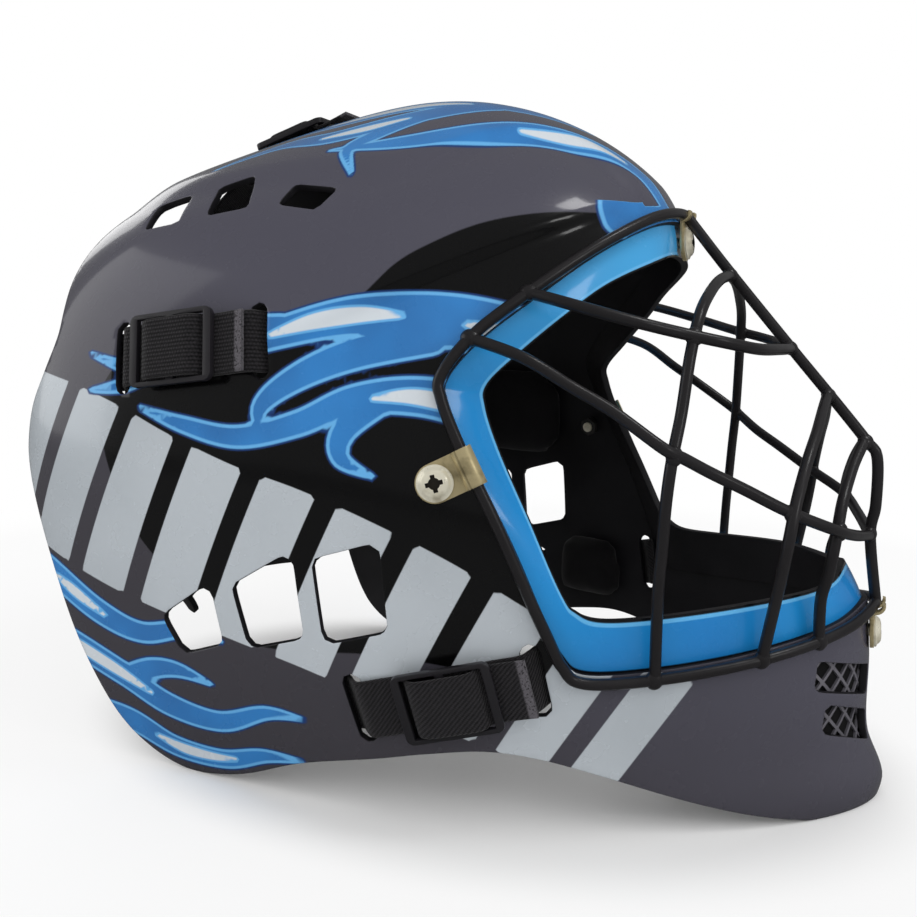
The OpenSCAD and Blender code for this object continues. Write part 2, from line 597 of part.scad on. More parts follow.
module cage_rim_wire() {
  n = 30;
  half = [for (i = [0:n]) rim_wire(i / n)];
  out = [for (i = [0:n]) rim_row(i / n)[1]];
  path = around_points(half);
  dirs = around_points(out);
  color("Black") loft([for (i = [0:2 * n - 1]) wire_ring(path[i], tangent(path, i, true), dirs[i], wire_d / 2)], true);
}
module cage_centre_bar() { bar(concat([rim_wire(0)], cage(CENTRE_BAR), [rim_wire(1)]), 22, [1, 0, 0]); }
module cage_upright_outer() { bar(concat(cage(UPRIGHT_OUTER), [rim_wire(outer_foot_v)]), 18, [0, 1, 0]); }
module cage_upright_middle() { bar(concat(cage(UPRIGHT_MIDDLE), [rim_wire(middle_foot_v)]), 14, [0, 1, 0]); }
module cage_upright_inner() { bar(concat(cage(UPRIGHT_INNER), [rim_wire(inner_foot_v)]), 12, [0, 1, 0]); }
module cage_brow_bar() { bar(concat([rim_wire(brow_bar_v)], cage(BROW_BAR)), 14, [0, 0, 1]); }
module cage_cheek_bar() { bar(concat([rim_wire(cheek_bar_v)], cage(CHEEK_BAR)), 18, [0, 0, 1]); }

// Webbing from inside the back plate, out through the rear slot, along the shell and in again
through = 3.4;
// How much farther the webbing stands off a hollow face than its running clearance
inner_slack = 1.7;
function cheek_run(r, plate) =
  let(
    d = run_dir(r), n = run_len(r), in = wall + web_up + inner_slack,
    outside = [for (i = [0:7]) let(s = lerp(through, n - through, i / 7)) [s, i == 0 || i == 7 ? web_up + 0.3 : web_up]],
    s_out = [for (q = outside) let(g = run_at(r, q[0])) [cheek(g[0], g[1], -q[1]), cheek_normal(g[0], g[1])]],
    entry = [
      for (q = [[-through - 4, in], [-through, in], [0, wall / 2]])
        let(g = run_at(r, q[0])) [cheek(g[0], g[1], q[1]), cheek_normal(g[0], g[1])]
    ],
    exit = [
      for (q = [[n, wall / 2], [n + through, in], [n + through + 3, in]])
        let(g = run_at(r, q[0])) [cheek(g[0], g[1], q[1]), cheek_normal(g[0], g[1])]
    ],
    a = plate[0], z = plate[1], inside = -plate_t - web_up - inner_slack, g = 4,
    seat = [
      for (q = [
        [a - 10, inside], [a - g, inside - 0.3], [a + 0.4, -plate_t / 2],
        [a + g, web_up + 0.6], [a + 10, web_up + 0.4], [a + 16, web_up + 0.2]
      ])
        [plate_point(q[0], z, q[1]), plate_normal(q[0], z)]
    ]
  ) concat(seat, plate[2], entry, s_out, exit);
function inner_wall(rows) = [for (f = rows) let(q = on_side(f)) [cheek(q[0], q[1], wall + 2 * web_up), cheek_normal(q[0], q[1])]];
module webbing(rows) {
  color("DimGray") band([for (q = rows) q[0]], [for (q = rows) q[1]], web_w, web_t);
}
module strap_upper() { webbing(cheek_run(UPPER, [PLATE_SLOTS[0][0], PLATE_SLOTS[0][1], []])); }
module strap_lower() {
  between = inner_wall([[0.5904, 0.178], [0.4518, 0.1522], [0.3133, 0.1377], [0.1807, 0.1377]]);
  webbing(cheek_run(LOWER, [PLATE_SLOTS[1][0], PLATE_SLOTS[1][1], between]));
}
module strap_top() {
  in = wall + web_up + inner_slack;
  inside = -plate_t - web_up - inner_slack;
  z = plate_top_slot;
  seat = [
    for (q = [[z - 11, inside], [z - through, inside], [z, -plate_t / 2], [z + through, web_up + 0.5]])
      [plate_point(0, q[0], q[1]), plate_normal(0, q[0])]
  ];
  over = [[plate_point(0, plate_z1, web_up + 1) + [0, 0, 3], plate_normal(0, plate_z1)]];
  crown = [
    for (q = [
      [TOP[0] + through + 5, in], [TOP[0] + through, in], [TOP[0], wall / 2], [TOP[0] - through, -web_up - 0.3],
      [TOP[0] - 12, -web_up], [TOP[0] - 20, -web_up], [TOP[0] - 28, -web_up], [TOP[0] - 36, -web_up],
      [TOP[1] + 7, -web_up], [TOP[1] + through, -web_up - 0.3], [TOP[1], wall / 2], [TOP[1] - through, in],
      [TOP[1] - through - 6, in]
    ]) [top_point(q[0], q[1]), top_normal(q[0])]
  ];
  webbing(concat(seat, over, crown));
}

// Adjuster frame lying over the webbing, and the webbing's free end looped over its middle bar
frame_up = web_gap + web_t + web_gap + web_t + web_gap;
frame_w = web_w + 2 * buckle_rail + 2 * web_gap;
module buckle() {
  window = (buckle_l - 3 * buckle_bar) / 2;
  color("Black") translate([0, 0, frame_up]) difference() {
    intersection() {
      translate([-buckle_l / 2, -frame_w / 2, 0]) cube([buckle_l, frame_w, buckle_t]);
      linear_extrude(buckle_t) union() {
        square([buckle_l - 6, frame_w], center = true);
        square([buckle_l, frame_w - 6], center = true);
        for (i = [-1, 1], j = [-1, 1]) translate([i * (buckle_l / 2 - 3), j * (frame_w / 2 - 3)]) circle(3);
      }
    }
    for (m = [-1, 1])
      translate([m * (window + buckle_bar) / 2 - window / 2, -web_w / 2 - web_gap, -1]) cube([window, web_w + 2 * web_gap, buckle_t + 2]);
  }
}
module tail() {
  low = web_gap + web_t + web_up;
  high = frame_up + buckle_t + web_up;
  e = buckle_l / 2 - buckle_bar;
  f = e - web_t - 2 * web_gap;
  P = [
    [-f - 0.8, low], [-f, low + 1.2], [-f + 1, low + 3], [-f + 2.6, high - 0.6], [-f + 5, high], [0, high],
    [f - 5, high], [f - 2.6, high - 0.6], [f - 1, low + 3], [f, low + 1.2], [e + 0.3, low + 0.1], [e + 3, low],
    [buckle_l / 2 + tail_l / 2, low + 0.3], [buckle_l / 2 + tail_l, low + 0.8]
  ];
  color("DimGray") band([for (q = P) [q[0], 0, q[1]]], [for (q = P) [-(q[1] > low + 0.5 && q[1] < high - 0.7 ? sign(q[0]) : 0) * -0.9, 0, 1]], web_w - 0.4, web_t);
}
module on_cheek(r, at) {
  g = run_at(r, at);
  h = run_at(r, at + 1);
  p = cheek(g[0], g[1]);
  n = cheek_normal(g[0], g[1]);
  t = let(v = cheek(h[0], h[1]) - p) unit(v - n * (v * n));
  place(p, t, cross(n, t), n) children();
}
module on_crown(y) {
  n = top_normal(y);
  t = unit(cross([1, 0, 0], n));
  place(top_point(y), t, cross(n, t), n) children();
}
module buckle_upper() { on_cheek(UPPER, upper_buckle_at) buckle(); }
module buckle_lower() { on_cheek(LOWER, lower_buckle_at) buckle(); }
module buckle_top() { on_crown(TOP[0] - top_buckle_at) buckle(); }
module tail_upper() { on_cheek(UPPER, upper_buckle_at) tail(); }
module tail_lower() { on_cheek(LOWER, lower_buckle_at) tail(); }
module tail_top() { on_crown(TOP[0] - top_buckle_at) tail(); }

// Foam pads: rounded patches that follow the wall inside, thinner towards their edges
function swell(s, t) = (1 - pow(abs(s), 5)) * (1 - pow(abs(t), 5));
function round_s(s, t) = s * (1 - 0.14 * pow(abs(t), 5));
function pad_t(s, t) = lerp(0.45, 1, pow(swell(s, t), 0.5)) * foam_t;
function pad_axis(n) = [for (i = [0:n]) 2 * i / n - 1];
module cheek_pad(f0, f1, m = 6, n = 8) {
  low = on_side(f0);
  high = on_side(f1);
  mid = (low + high) / 2;
  half = (high - low) / 2;
  function at(s, t, d) = cheek(mid[0] + round_s(s, t) * half[0], mid[1] + round_s(t, s) * half[1], d);
  color("Black") slab(
    [for (t = pad_axis(m)) [for (s = pad_axis(n)) at(s, t, wall + 1.2 * foam_gap)]],
    [for (t = pad_axis(m)) [for (s = pad_axis(n)) at(s, t, wall + 1.2 * foam_gap + pad_t(s, t))]]
  );
}
module foam_temple() { cheek_pad([-0.0235, 0.3913], [0.5602, 0.5797]); }
module foam_jaw() { cheek_pad([-0.2523, 0.1304], [-0.0293, 0.25], 6, 6); }
brow_pad_z0 = 0.837 * shell_h;
brow_pad_z1 = 0.9275 * shell_h;
brow_pad_a = 50;
module foam_brow() {
  l0 = level_at(brow_pad_z0);
  l1 = level_at(brow_pad_z1);
  function at(s, t, d) = inset(lerp(l0, l1, (1 + round_s(t, s)) / 2), brow_pad_a * round_s(s, t), d);
  in = wall + 1.6 * foam_gap;
  color("Black") slab(
    [for (t = pad_axis(6)) [for (s = pad_axis(11)) at(s, t, in)]],
    [for (t = pad_axis(6)) [for (s = pad_axis(11)) at(s, t, in + pad_t(s, t))]]
  );
}
crown_pad_z = 0.982;
module foam_crown() {
  n = 18;
  m = 3;
  top = wall + foam_gap;
  function ring(i, d) = [for (j = [0:n - 1]) inset(lerp(level_at(crown_pad_z * dome_h), 0.97, i / m), 360 * j / n, d)];
  function low(i) = top + foam_t * lerp(0.45, 1, sqrt(clamp01(i / m * 2)));
  over = [for (i = [0:m]) ring(i, top)];
  under = [for (i = [0:m]) ring(i, low(i))];
  k = (m + 1) * n;
  points = concat([for (r = over) each r], [for (r = under) each r], [skin_point(1, 0) - [0, 0, top], skin_point(1, 0) - [0, 0, low(m)]]);
  color("Black") polyhedron(
    points = points,
    faces = concat(
      side_faces(m + 1, n, false),
      [for (f = side_faces(m + 1, n, false)) [k + f[0], k + f[2], k + f[1]]],
      [for (j = [0:n - 1]) each [[j, (j + 1) % n, k + (j + 1) % n], [j, k + (j + 1) % n, k + j]]],
      [for (j = [0:n - 1]) let(q = m * n) [q + j, 2 * k, q + (j + 1) % n]],
      [for (j = [0:n - 1]) let(q = k + m * n) [q + j, q + (j + 1) % n, 2 * k + 1]]
    )
  );
}
module foam_back() {
  z0 = plate_z0 + 14;
  z1 = plate_z1 - 34;
  in = -plate_t - foam_gap;
  function at(s, t, d) = plate_point(-38 * round_s(s, t), (z0 + z1) / 2 + round_s(t, s) * (z1 - z0) / 2, d);
  color("Black") slab(
    [for (t = pad_axis(8)) [for (s = pad_axis(8)) at(s, t, in)]],
    [for (t = pad_axis(8)) [for (s = pad_axis(8)) at(s, t, in - pad_t(s, t))]]
  );
}

// Open mesh behind the chin slots
mesh_t = 1.4;
mesh_gap = 0.8;
mesh_strand = 1.2;
module chin_mesh() {
  low = 0.0652 * shell_h;
  high = 0.2192 * shell_h;
  reach = 0.3729 * shell_half_w;
  pitch = [(reach - 18) / 2, (high - low - 3.5) / 3];
  hole = min(pitch) / sqrt(2) - mesh_strand;
  l0 = level_at(low);
  function l1(j) = level_at(high + 0.7 * j);
  function ang(l, x) = let(s = section(l)) asin(pow(clamp01(x / s[1]), s[5] / 2));
  function at(i, j, d) = let(l = lerp(l0, l1(j), i / 3)) inset(l, ang(l, lerp(2, reach, j / 5)), wall + mesh_gap + d);
  color("Gray") difference() {
    slab([for (i = [0:3]) [for (j = [0:5]) at(i, j, 0)]], [for (i = [0:3]) [for (j = [0:5]) at(i, j, mesh_t)]]);
    for (k = [0, 1], i = [0:2 - k], j = [0:2])
      translate([9.5 + (i + k / 2) * pitch.x, -chin_reach, low + 8 + (j + k / 2) * pitch.y]) rotate([90, 45, 0])
        cube([hole, hole, chin_reach / 2], center = true);
  }
}

// Left and right of each pair
module cage_upright_outer_left() { cage_upright_outer(); }
module cage_upright_outer_right() { mirror([1, 0, 0]) cage_upright_outer(); }
module cage_upright_middle_left() { cage_upright_middle(); }
module cage_upright_middle_right() { mirror([1, 0, 0]) cage_upright_middle(); }
module cage_upright_inner_left() { cage_upright_inner(); }
module cage_upright_inner_right() { mirror([1, 0, 0]) cage_upright_inner(); }
module cage_brow_bar_left() { cage_brow_bar(); }
module cage_brow_bar_right() { mirror([1, 0, 0]) cage_brow_bar(); }
module cage_cheek_bar_left() { cage_cheek_bar(); }
module cage_cheek_bar_right() { mirror([1, 0, 0]) cage_cheek_bar(); }
module strap_upper_left() { strap_upper(); }
module strap_upper_right() { mirror([1, 0, 0]) strap_upper(); }
module strap_lower_left() { strap_lower(); }
module strap_lower_right() { mirror([1, 0, 0]) strap_lower(); }
module buckle_upper_left() { buckle_upper(); }
module buckle_upper_right() { mirror([1, 0, 0]) buckle_upper(); }
module buckle_lower_left() { buckle_lower(); }
module buckle_lower_right() { mirror([1, 0, 0]) buckle_lower(); }
module tail_upper_left() { tail_upper(); }
module tail_upper_right() { mirror([1, 0, 0]) tail_upper(); }
module tail_lower_left() { tail_lower(); }
module tail_lower_right() { mirror([1, 0, 0]) tail_lower(); }
module foam_temple_left() { foam_temple(); }
module foam_temple_right() { mirror([1, 0, 0]) foam_temple(); }
module foam_jaw_left() { foam_jaw(); }
module foam_jaw_right() { mirror([1, 0, 0]) foam_jaw(); }
module chin_mesh_left() { chin_mesh(); }
module chin_mesh_right() { mirror([1, 0, 0]) chin_mesh(); }

shell();
back_plate();
cage_rim_wire();
cage_centre_bar();
cage_upright_outer_left();
cage_upright_outer_right();
cage_upright_middle_left();
cage_upright_middle_right();
cage_upright_inner_left();
cage_upright_inner_right();
cage_brow_bar_left();
cage_brow_bar_right();
cage_cheek_bar_left();
cage_cheek_bar_right();
clip_left();
clip_right();
clip_chin();
clip_forehead();
clip_screws();
clip_nuts();
strap_upper_left();
strap_upper_right();
strap_lower_left();
strap_lower_right();
strap_top();
buckle_upper_left();
buckle_upper_right();
buckle_lower_left();
buckle_lower_right();
buckle_top();
tail_upper_left();
tail_upper_right();
tail_lower_left();
tail_lower_right();
tail_top();
foam_brow();
foam_crown();
foam_temple_left();
foam_temple_right();
foam_jaw_left();
foam_jaw_right();
foam_back();
chin_mesh_left();
chin_mesh_right();
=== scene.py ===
"""Floorball goalkeeper helmet: painted shell, wire cage, webbing, back plate, foam and studio."""

import logging
import math
from contextlib import contextmanager
from dataclasses import dataclass, field
from enum import Enum
from typing import Any, Iterable, Iterator, NamedTuple, Optional, Sequence

import bmesh
import bpy
import numpy as np
from mathutils import Matrix, Vector


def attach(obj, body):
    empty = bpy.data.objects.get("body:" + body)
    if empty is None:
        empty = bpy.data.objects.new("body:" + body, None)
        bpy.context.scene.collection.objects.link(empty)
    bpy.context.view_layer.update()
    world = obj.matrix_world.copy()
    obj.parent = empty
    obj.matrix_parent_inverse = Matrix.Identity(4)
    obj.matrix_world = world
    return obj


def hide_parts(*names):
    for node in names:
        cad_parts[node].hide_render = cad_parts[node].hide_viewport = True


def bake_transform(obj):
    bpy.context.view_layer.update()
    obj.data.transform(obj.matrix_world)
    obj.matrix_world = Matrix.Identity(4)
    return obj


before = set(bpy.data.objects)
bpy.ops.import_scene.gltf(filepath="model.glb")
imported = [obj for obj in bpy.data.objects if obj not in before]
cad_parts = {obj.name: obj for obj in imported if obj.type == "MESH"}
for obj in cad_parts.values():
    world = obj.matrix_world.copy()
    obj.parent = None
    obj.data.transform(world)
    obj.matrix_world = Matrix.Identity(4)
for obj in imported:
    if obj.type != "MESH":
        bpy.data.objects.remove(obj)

Array = np.ndarray
Material = bpy.types.Material
Piece = bpy.types.Object

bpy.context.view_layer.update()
LOG = logging.getLogger("helmet")
MM = 0.001
UNCUT = 99.0
PROFILE_POINTS = 16
HELMET = "helmet"
BACK = "back"


class Side(Enum):
    """Which side of the head a piece is on."""

    LEFT = 1
    RIGHT = -1

    @property
    def word(self) -> str:
        """Name of the side as it ends a node's name."""
        return self.name.lower()


# --- Shader nodes written as expressions ---
class Value:
    """A number socket that builds Math nodes from Python operators."""

    def __init__(self, graph: "Graph", socket: Any) -> None:
        """Keeps the graph and the socket, or the plain number."""
        self.graph = graph
        self.socket = socket

    def _math(self, operation: str, *others: Any) -> "Value":
        """Adds one Math node.

        Args:
            operation: Name of the Math operation.
            others: The operands after this value.

        Returns:
            The node's result.
        """
        return self.graph.add("ShaderNodeMath", {"operation": operation}, [self, *others])

    def __add__(self, other: Any) -> "Value":
        """Sum."""
        return self._math("ADD", other)

    __radd__ = __add__

    def __sub__(self, other: Any) -> "Value":
        """Difference."""
        return self._math("SUBTRACT", other)

    def __rsub__(self, other: Any) -> "Value":
        """Difference the other way round."""
        return self.graph.value(other)._math("SUBTRACT", self)

    def __mul__(self, other: Any) -> "Value":
        """Product."""
        return self._math("MULTIPLY", other)

    __rmul__ = __mul__

    def __truediv__(self, other: Any) -> "Value":
        """Quotient."""
        return self._math("DIVIDE", other)

    def wave(self, period: float) -> "Value":
        """Triangle wave from 0 to 1 that repeats at the period."""
        return self._math("PINGPONG", period / 2) * (2 / period)

    def floor(self) -> "Value":
        """Whole part."""
        return self._math("FLOOR")

    def most(self, other: Any) -> "Value":
        """Larger of two."""
        return self._math("MAXIMUM", other)

    def step(self, low: float, high: float) -> "Value":
        """Smooth step between two values, of which the first may be the larger.

        Args:
            low: Value at which the step begins.
            high: Value at which it ends.

        Returns:
            The step, from 0 to 1.
        """
        if low > high:
            return 1 - self.step(high, low)
        return self.graph.add(
            "ShaderNodeMapRange",
            {"interpolation_type": "SMOOTHSTEP"},
            {"Value": self, "From Min": low, "From Max": high, "To Min": 0.0, "To Max": 1.0},
        )


class Graph:
    """Node tree of one finish or of the world, with a method that adds any node."""

    def __init__(self, name: str, world: bool = False) -> None:
        """Starts a material, or the world, with only its output and one shader.

        Args:
            name: Name of the material or world.
            world: Whether it is the world.
        """
        self.material = (bpy.data.worlds if world else bpy.data.materials).new(name)
        self.material.use_nodes = True
        self.nodes = self.material.node_tree.nodes
        self.links = self.material.node_tree.links
        self.shader = next(n for n in self.nodes if n.type in ("BSDF_PRINCIPLED", "BACKGROUND"))
        self.output = next(n for n in self.nodes if n.type.startswith("OUTPUT"))

    def value(self, thing: Any) -> Value:
        """Wraps a number or a socket as a Value."""
        return thing if isinstance(thing, Value) else Value(self, thing)

    def feed(self, socket: Any, thing: Any) -> None:
        """Sets or links one socket.

        Args:
            socket: The socket to fill.
            thing: A number, a colour, a Value or a socket.
        """
        source = thing.socket if isinstance(thing, Value) else thing
        if isinstance(source, bpy.types.NodeSocket):
            self.links.new(source, socket)
        elif hasattr(socket, "default_value"):
            if isinstance(source, (tuple, list)) and len(source) == 3 and socket.type == "RGBA":
                source = (*source, 1.0)
            socket.default_value = source

    def add(self, kind: str, settings: Optional[dict] = None, sockets: Any = (), out: Any = 0) -> Value:
        """Adds a node.

        Args:
            kind: The node's type.
            settings: Properties that are set before the sockets.
            sockets: Values or links, by place or by name.
            out: The output to return, by place or name.

        Returns:
            The chosen output.
        """
        node = self.nodes.new(kind)
        for key, setting in (settings or {}).items():
            setattr(node, key, setting)
        pairs = sockets.items() if isinstance(sockets, dict) else enumerate(sockets)
        for key, thing in pairs:
            self.feed(node.inputs[key], thing)
        return Value(self, node.outputs[out])

    def attribute(self, name: str) -> Value:
        """Number stored on the mesh under a name."""
        return self.add("ShaderNodeAttribute", {"attribute_name": name}, out="Fac")

    def place(self) -> Value:
        """Object coordinates, in metres."""
        return self.add("ShaderNodeTexCoord", out="Object")

    def uv(self) -> tuple[Value, Value]:
        """Both numbers of the piece's own UV map, in millimetres.

        Returns:
            Distance round the piece and along it.
        """
        uv = self.add("ShaderNodeTexCoord", out="UV")
        node = self.nodes.new("ShaderNodeSeparateXYZ")
        self.feed(node.inputs[0], uv)
        return Value(self, node.outputs[0]), Value(self, node.outputs[1])

    def noise(self, scale: float, detail: float = 2.0, stretch: Any = None) -> Value:
        """Noise on Object coordinates.

        Args:
            scale: Waves per metre.
            detail: How many finer layers are added.
            stretch: Scale along each axis.

        Returns:
            The noise, from 0 to 1.
        """
        vector = self.place()
        if stretch:
            vector = self.add("ShaderNodeMapping", sockets={"Vector": vector, "Scale": stretch})
        return self.add(
            "ShaderNodeTexNoise", sockets={"Vector": vector, "Scale": scale, "Detail": detail}, out=0
        )

    def mix(self, mask: Any, a: Any, b: Any) -> Value:
        """Mixes two colours.

        Args:
            mask: Number from 0 to 1.
            a: Colour where the mask is 0.
            b: Colour where it is 1.

        Returns:
            The mixed colour.
        """
        node = self.nodes.new("ShaderNodeMix")
        node.data_type = "RGBA"
        self.feed(node.inputs["Factor"], mask)
        self.feed(node.inputs[6], a)
        self.feed(node.inputs[7], b)
        return Value(self, node.outputs[2])

    def bump(self, height: Value, distance: float, strength: float) -> None:
        """Feeds the shader's normal from a height between 0 and 1 and its depth in metres."""
        sockets = {"Height": height, "Distance": distance, "Strength": strength}
        self.feed(self.shader.inputs["Normal"], self.add("ShaderNodeBump", sockets=sockets))

    def shade(self, **sockets: Any) -> None:
        """Sets or links the shader's sockets by name, with underscores for spaces."""
        for key, thing in sockets.items():
            self.feed(self.shader.inputs[key.replace("_", " ")], thing)

    def lacquer(self) -> None:
        """Adds clear coat over faintly uneven gloss paint."""
        self.shade(Roughness=self.noise(90.0, 3.0) * 0.06 + 0.24)
        self.shade(Coat_Weight=0.75, Coat_Roughness=0.09, Specular_IOR_Level=0.22)
        self.bump(self.noise(60.0, 1.0), 0.00003, 0.25)

    def ray(self, kind: str) -> Value:
        """1 for rays of a kind, such as Camera or Glossy, and 0 for others."""
        return self.add("ShaderNodeLightPath", out=f"Is {kind} Ray")

    def height(self) -> Value:
        """Height over the ground, in metres."""
        return self.add("ShaderNodeSeparateXYZ", sockets=[self.place()], out=2)


def linear(code: str) -> tuple[float, float, float]:
    """Linear colour of a six-digit screen colour."""
    parts = [int(code[i : i + 2], 16) / 255 for i in (0, 2, 4)]
    return tuple(c / 12.92 if c <= 0.04045 else ((c + 0.055) / 1.055) ** 2.4 for c in parts)


@dataclass(frozen=True)
class ShellPaint:
    """Gloss paint of the shell, whose fields are distances in millimetres stored on the mesh."""

    base: str = "4a4954"
    # Darker base colour: painted shade towards the bottom and the back.
    base_low: str = "3c3a40"
    ink: str = "050506"
    navy: str = "12366e"
    blue: str = "2b6cab"
    light: str = "62aadf"
    white: str = "cdd4da"
    silver: str = "c3cad0"
    silver_dull: str = "b4bbc1"
    blue_bright: str = "2f7cc0"
    blur: float = 0.35

    def build(self) -> Material:
        """Paints the base, darker towards the bottom and the back as painted shade, then the black field, the silver
        bars and the flames, one over the other.

        Returns:
            The finished material.
        """
        g = Graph("shell_paint")
        broad = g.noise(9.0, 2.0)
        # Painted shade: the base turns darker towards the bottom and the back.
        rear = g.add("ShaderNodeSeparateXYZ", sockets=[g.place()], out=1)
        tone = (g.height() - rear * 0.6 + broad * 0.06).step(0.04, 0.2)
        colour = g.mix(tone, linear(self.base_low), linear(self.base))
        colour = g.mix(g.attribute("ink").step(0.4, -0.4), colour, linear(self.ink))
        bars = g.attribute("bars").step(0.25, -0.25)
        sheen = g.mix(broad.step(0.35, 0.7), linear(self.silver), linear(self.silver_dull))
        colour = g.mix(bars, colour, sheen)
        flame = g.attribute("tongue")
        body = g.mix(g.noise(26.0, 2.0).step(0.35, 0.7), linear(self.blue), linear(self.blue_bright))
        for low, paint in ((1.0, linear(self.navy)), (0.3, linear(self.light)), (-0.9, body)):
            colour = g.mix(flame.step(low + self.blur, low - self.blur), colour, paint)
        core = g.attribute("core")
        for low, paint in ((0.7, linear(self.light)), (-0.2, linear(self.white))):
            colour = g.mix(core.step(low + self.blur, low - self.blur), colour, paint)
        g.shade(Base_Color=colour, Metallic=bars * 0.2)
        g.lacquer()
        return g.material


@dataclass(frozen=True)
class FlangePaint:
    """Blue band on the flange round the face, with random pale patches, a painted highlight along its upper part and
    thin dark edges, the outer one painted shade.
    """

    blue: str = "1e88cc"
    dark: str = "1c78bd"
    # Colour of the random pale patches and of the painted highlight on the band's upper part.
    light: str = "48a6dc"
    lip: str = "5fb0e4"
    # Colour of the thin dark lines; at the step under the shell's edge and the wire it is painted shade.
    edge: str = "0b0c10"

    def build(self) -> Material:
        """Paints the band from the across attribute, which is 0 outside and 1 at the lip.

        Returns:
            The finished material.
        """
        g = Graph("flange_paint")
        across = g.attribute("across")
        broad = g.noise(14.0, 2.0)
        colour = g.mix(broad.step(0.35, 0.7), linear(self.blue), linear(self.dark))
        # Random pale patches, and a painted highlight on the band's upper part, from 15 to 21 cm up.
        pale = (g.noise(7.0, 1.0).step(0.5, 0.8) * 0.6).most(g.height().step(0.15, 0.21) * 0.75)
        colour = g.mix(pale, colour, linear(self.light))
        colour = g.mix(across.step(0.86, 0.89), colour, linear(self.lip))
        # Thin dark line along the lip, and painted shade at the step under the shell's edge and the wire.
        edge = across.step(0.93, 0.96).most(across.step(0.15, 0.12))
        colour = g.mix(edge, colour, linear(self.edge))
        g.shade(Base_Color=colour)
        g.lacquer()
        return g.material


@dataclass(frozen=True)
class Moulded:
    """Moulded plastic, foam or coating with a fine grain."""

    name: str
    colour: str
    dark: str
    rough: float
    grain: float = 900.0
    depth: float = 0.00004
    coat: float = 0.0
    sheen: float = 0.0

    def build(self) -> Material:
        """Makes the material from a fine and a broad grain.

        Returns:
            The finished material.
        """
        g = Graph(self.name)
        fine = g.noise(self.grain, 3.0)
        broad = g.noise(25.0, 3.0)
        g.shade(
            Base_Color=g.mix(broad.step(0.3, 0.7), linear(self.colour), linear(self.dark)),
            Roughness=fine * 0.12 + (self.rough - 0.06),
            Coat_Weight=self.coat,
            Coat_Roughness=0.2,
            Sheen_Weight=self.sheen,
            Sheen_Roughness=0.4,
        )
        g.bump(fine, self.depth, 0.6)
        return g.material


@dataclass(frozen=True)
class Plated:
    """Nickel or zinc plated steel with faint brushing and dark patches, partly stains and partly painted reflection.
    """

    name: str
    colour: str
    # Colour of the dark patches: partly stains, partly painted reflection.
    stain: str
    rough: float = 0.22
    metal: float = 0.45

    def build(self) -> Material:
        """Makes the metal with its dark patches, partly stains and partly painted reflection, and its brushing.

        Returns:
            The finished material.
        """
        g = Graph(self.name)
        # Dark patches: partly stains, partly painted reflection.
        stain = g.noise(160.0, 4.0)
        brush = g.noise(900.0, 2.0, stretch=(1.0, 1.0, 0.12))
        g.shade(
            Base_Color=g.mix(stain.step(0.45, 0.75) * 0.6, linear(self.colour), linear(self.stain)),
            Metallic=self.metal,
            Roughness=brush * 0.12 + stain * 0.1 + self.rough,
        )
        g.bump(brush, 0.00002, 0.4)
        return g.material


class Weave(Enum):
    """How the webbing is woven."""

    RIBBED = "ribbed"
    TWILL = "twill"


@dataclass(frozen=True)
class Webbing:
    """Woven webbing; its UV map is in millimetres round and along the band."""

    weave: Weave
    # Colour of the weave's hollows: painted shade between the threads.
    hollow: str = "060607"
    thread: str = "222023"
    fuzz: str = "343135"
    frayed: str = "59565b"

    def build(self) -> Material:
        """Makes the weave from waves on the UV map, with painted shade in its hollows and a frayed cut end.

        Returns:
            The finished material.
        """
        g = Graph(f"webbing_{self.weave.value}")
        u, v = g.uv()
        if self.weave is Weave.RIBBED:
            row = u.wave(1.25)
            stitch = (v + (u / 1.25).floor() * 0.6).wave(1.2)
            height = row * 0.55 + stitch * row * 0.65
        else:
            height = (u + v * 0.75).wave(1.55) * 0.8 + (u - v * 0.75).wave(0.9) * 0.25
        fuzz = g.noise(1400.0, 3.0)
        frayed = v.step(3.6, 2.6) * fuzz.step(0.3, 0.5)
        # Painted shade: the weave's hollows are darker than its raised threads.
        tone = g.mix(height.step(0.15, 0.85), linear(self.hollow), linear(self.thread))
        tone = g.mix(fuzz.step(0.35, 0.75) * 0.3, tone, linear(self.fuzz))
        g.shade(
            Base_Color=g.mix(frayed, tone, linear(self.frayed)),
            Roughness=0.85,
            Sheen_Weight=0.1,
            Sheen_Roughness=0.5,
            Specular_IOR_Level=0.25,
        )
        g.bump(height + fuzz * 0.3, 0.00035, 0.9)
        return g.material


@dataclass(frozen=True)
class Foam:
    """Cloth-faced foam of the pads."""

    colour: str = "0c0b0d"
    worn: str = "131214"

    def build(self) -> Material:
        """Makes the soft black cloth.

        Returns:
            The finished material.
        """
        g = Graph("liner_cloth")
        knit = g.noise(1500.0, 2.0)
        broad = g.noise(40.0, 3.0)
        g.shade(
            Base_Color=g.mix(broad.step(0.3, 0.7), linear(self.colour), linear(self.worn)),
            Roughness=0.9,
            Sheen_Weight=0.12,
            Sheen_Roughness=0.5,
            Specular_IOR_Level=0.2,
        )
        g.bump(knit * 0.7 + broad * 0.5, 0.0003, 0.7)
        return g.material


# --- Curves and the head form, in millimetres ---
def along(table: Array, t: Any) -> Array:
    """Smooth curve through the rows of a table.

    Args:
        table: Rows of numbers.
        t: Places from 0 to 1.

    Returns:
        One row for each place.
    """
    t = np.asarray(t, float)
    n = len(table) - 1
    s = np.clip(t, 0, 1) * n
    i = np.minimum(np.floor(s).astype(int), n - 1)
    f = (s - i)[..., None]
    a, b, c, d = (table[np.clip(i + k, 0, n)] for k in (-1, 0, 1, 2))
    return 0.5 * (2 * b + (c - a) * f + (2 * a - 5 * b + 4 * c - d) * f**2 + (3 * b - a - 3 * c + d) * f**3)


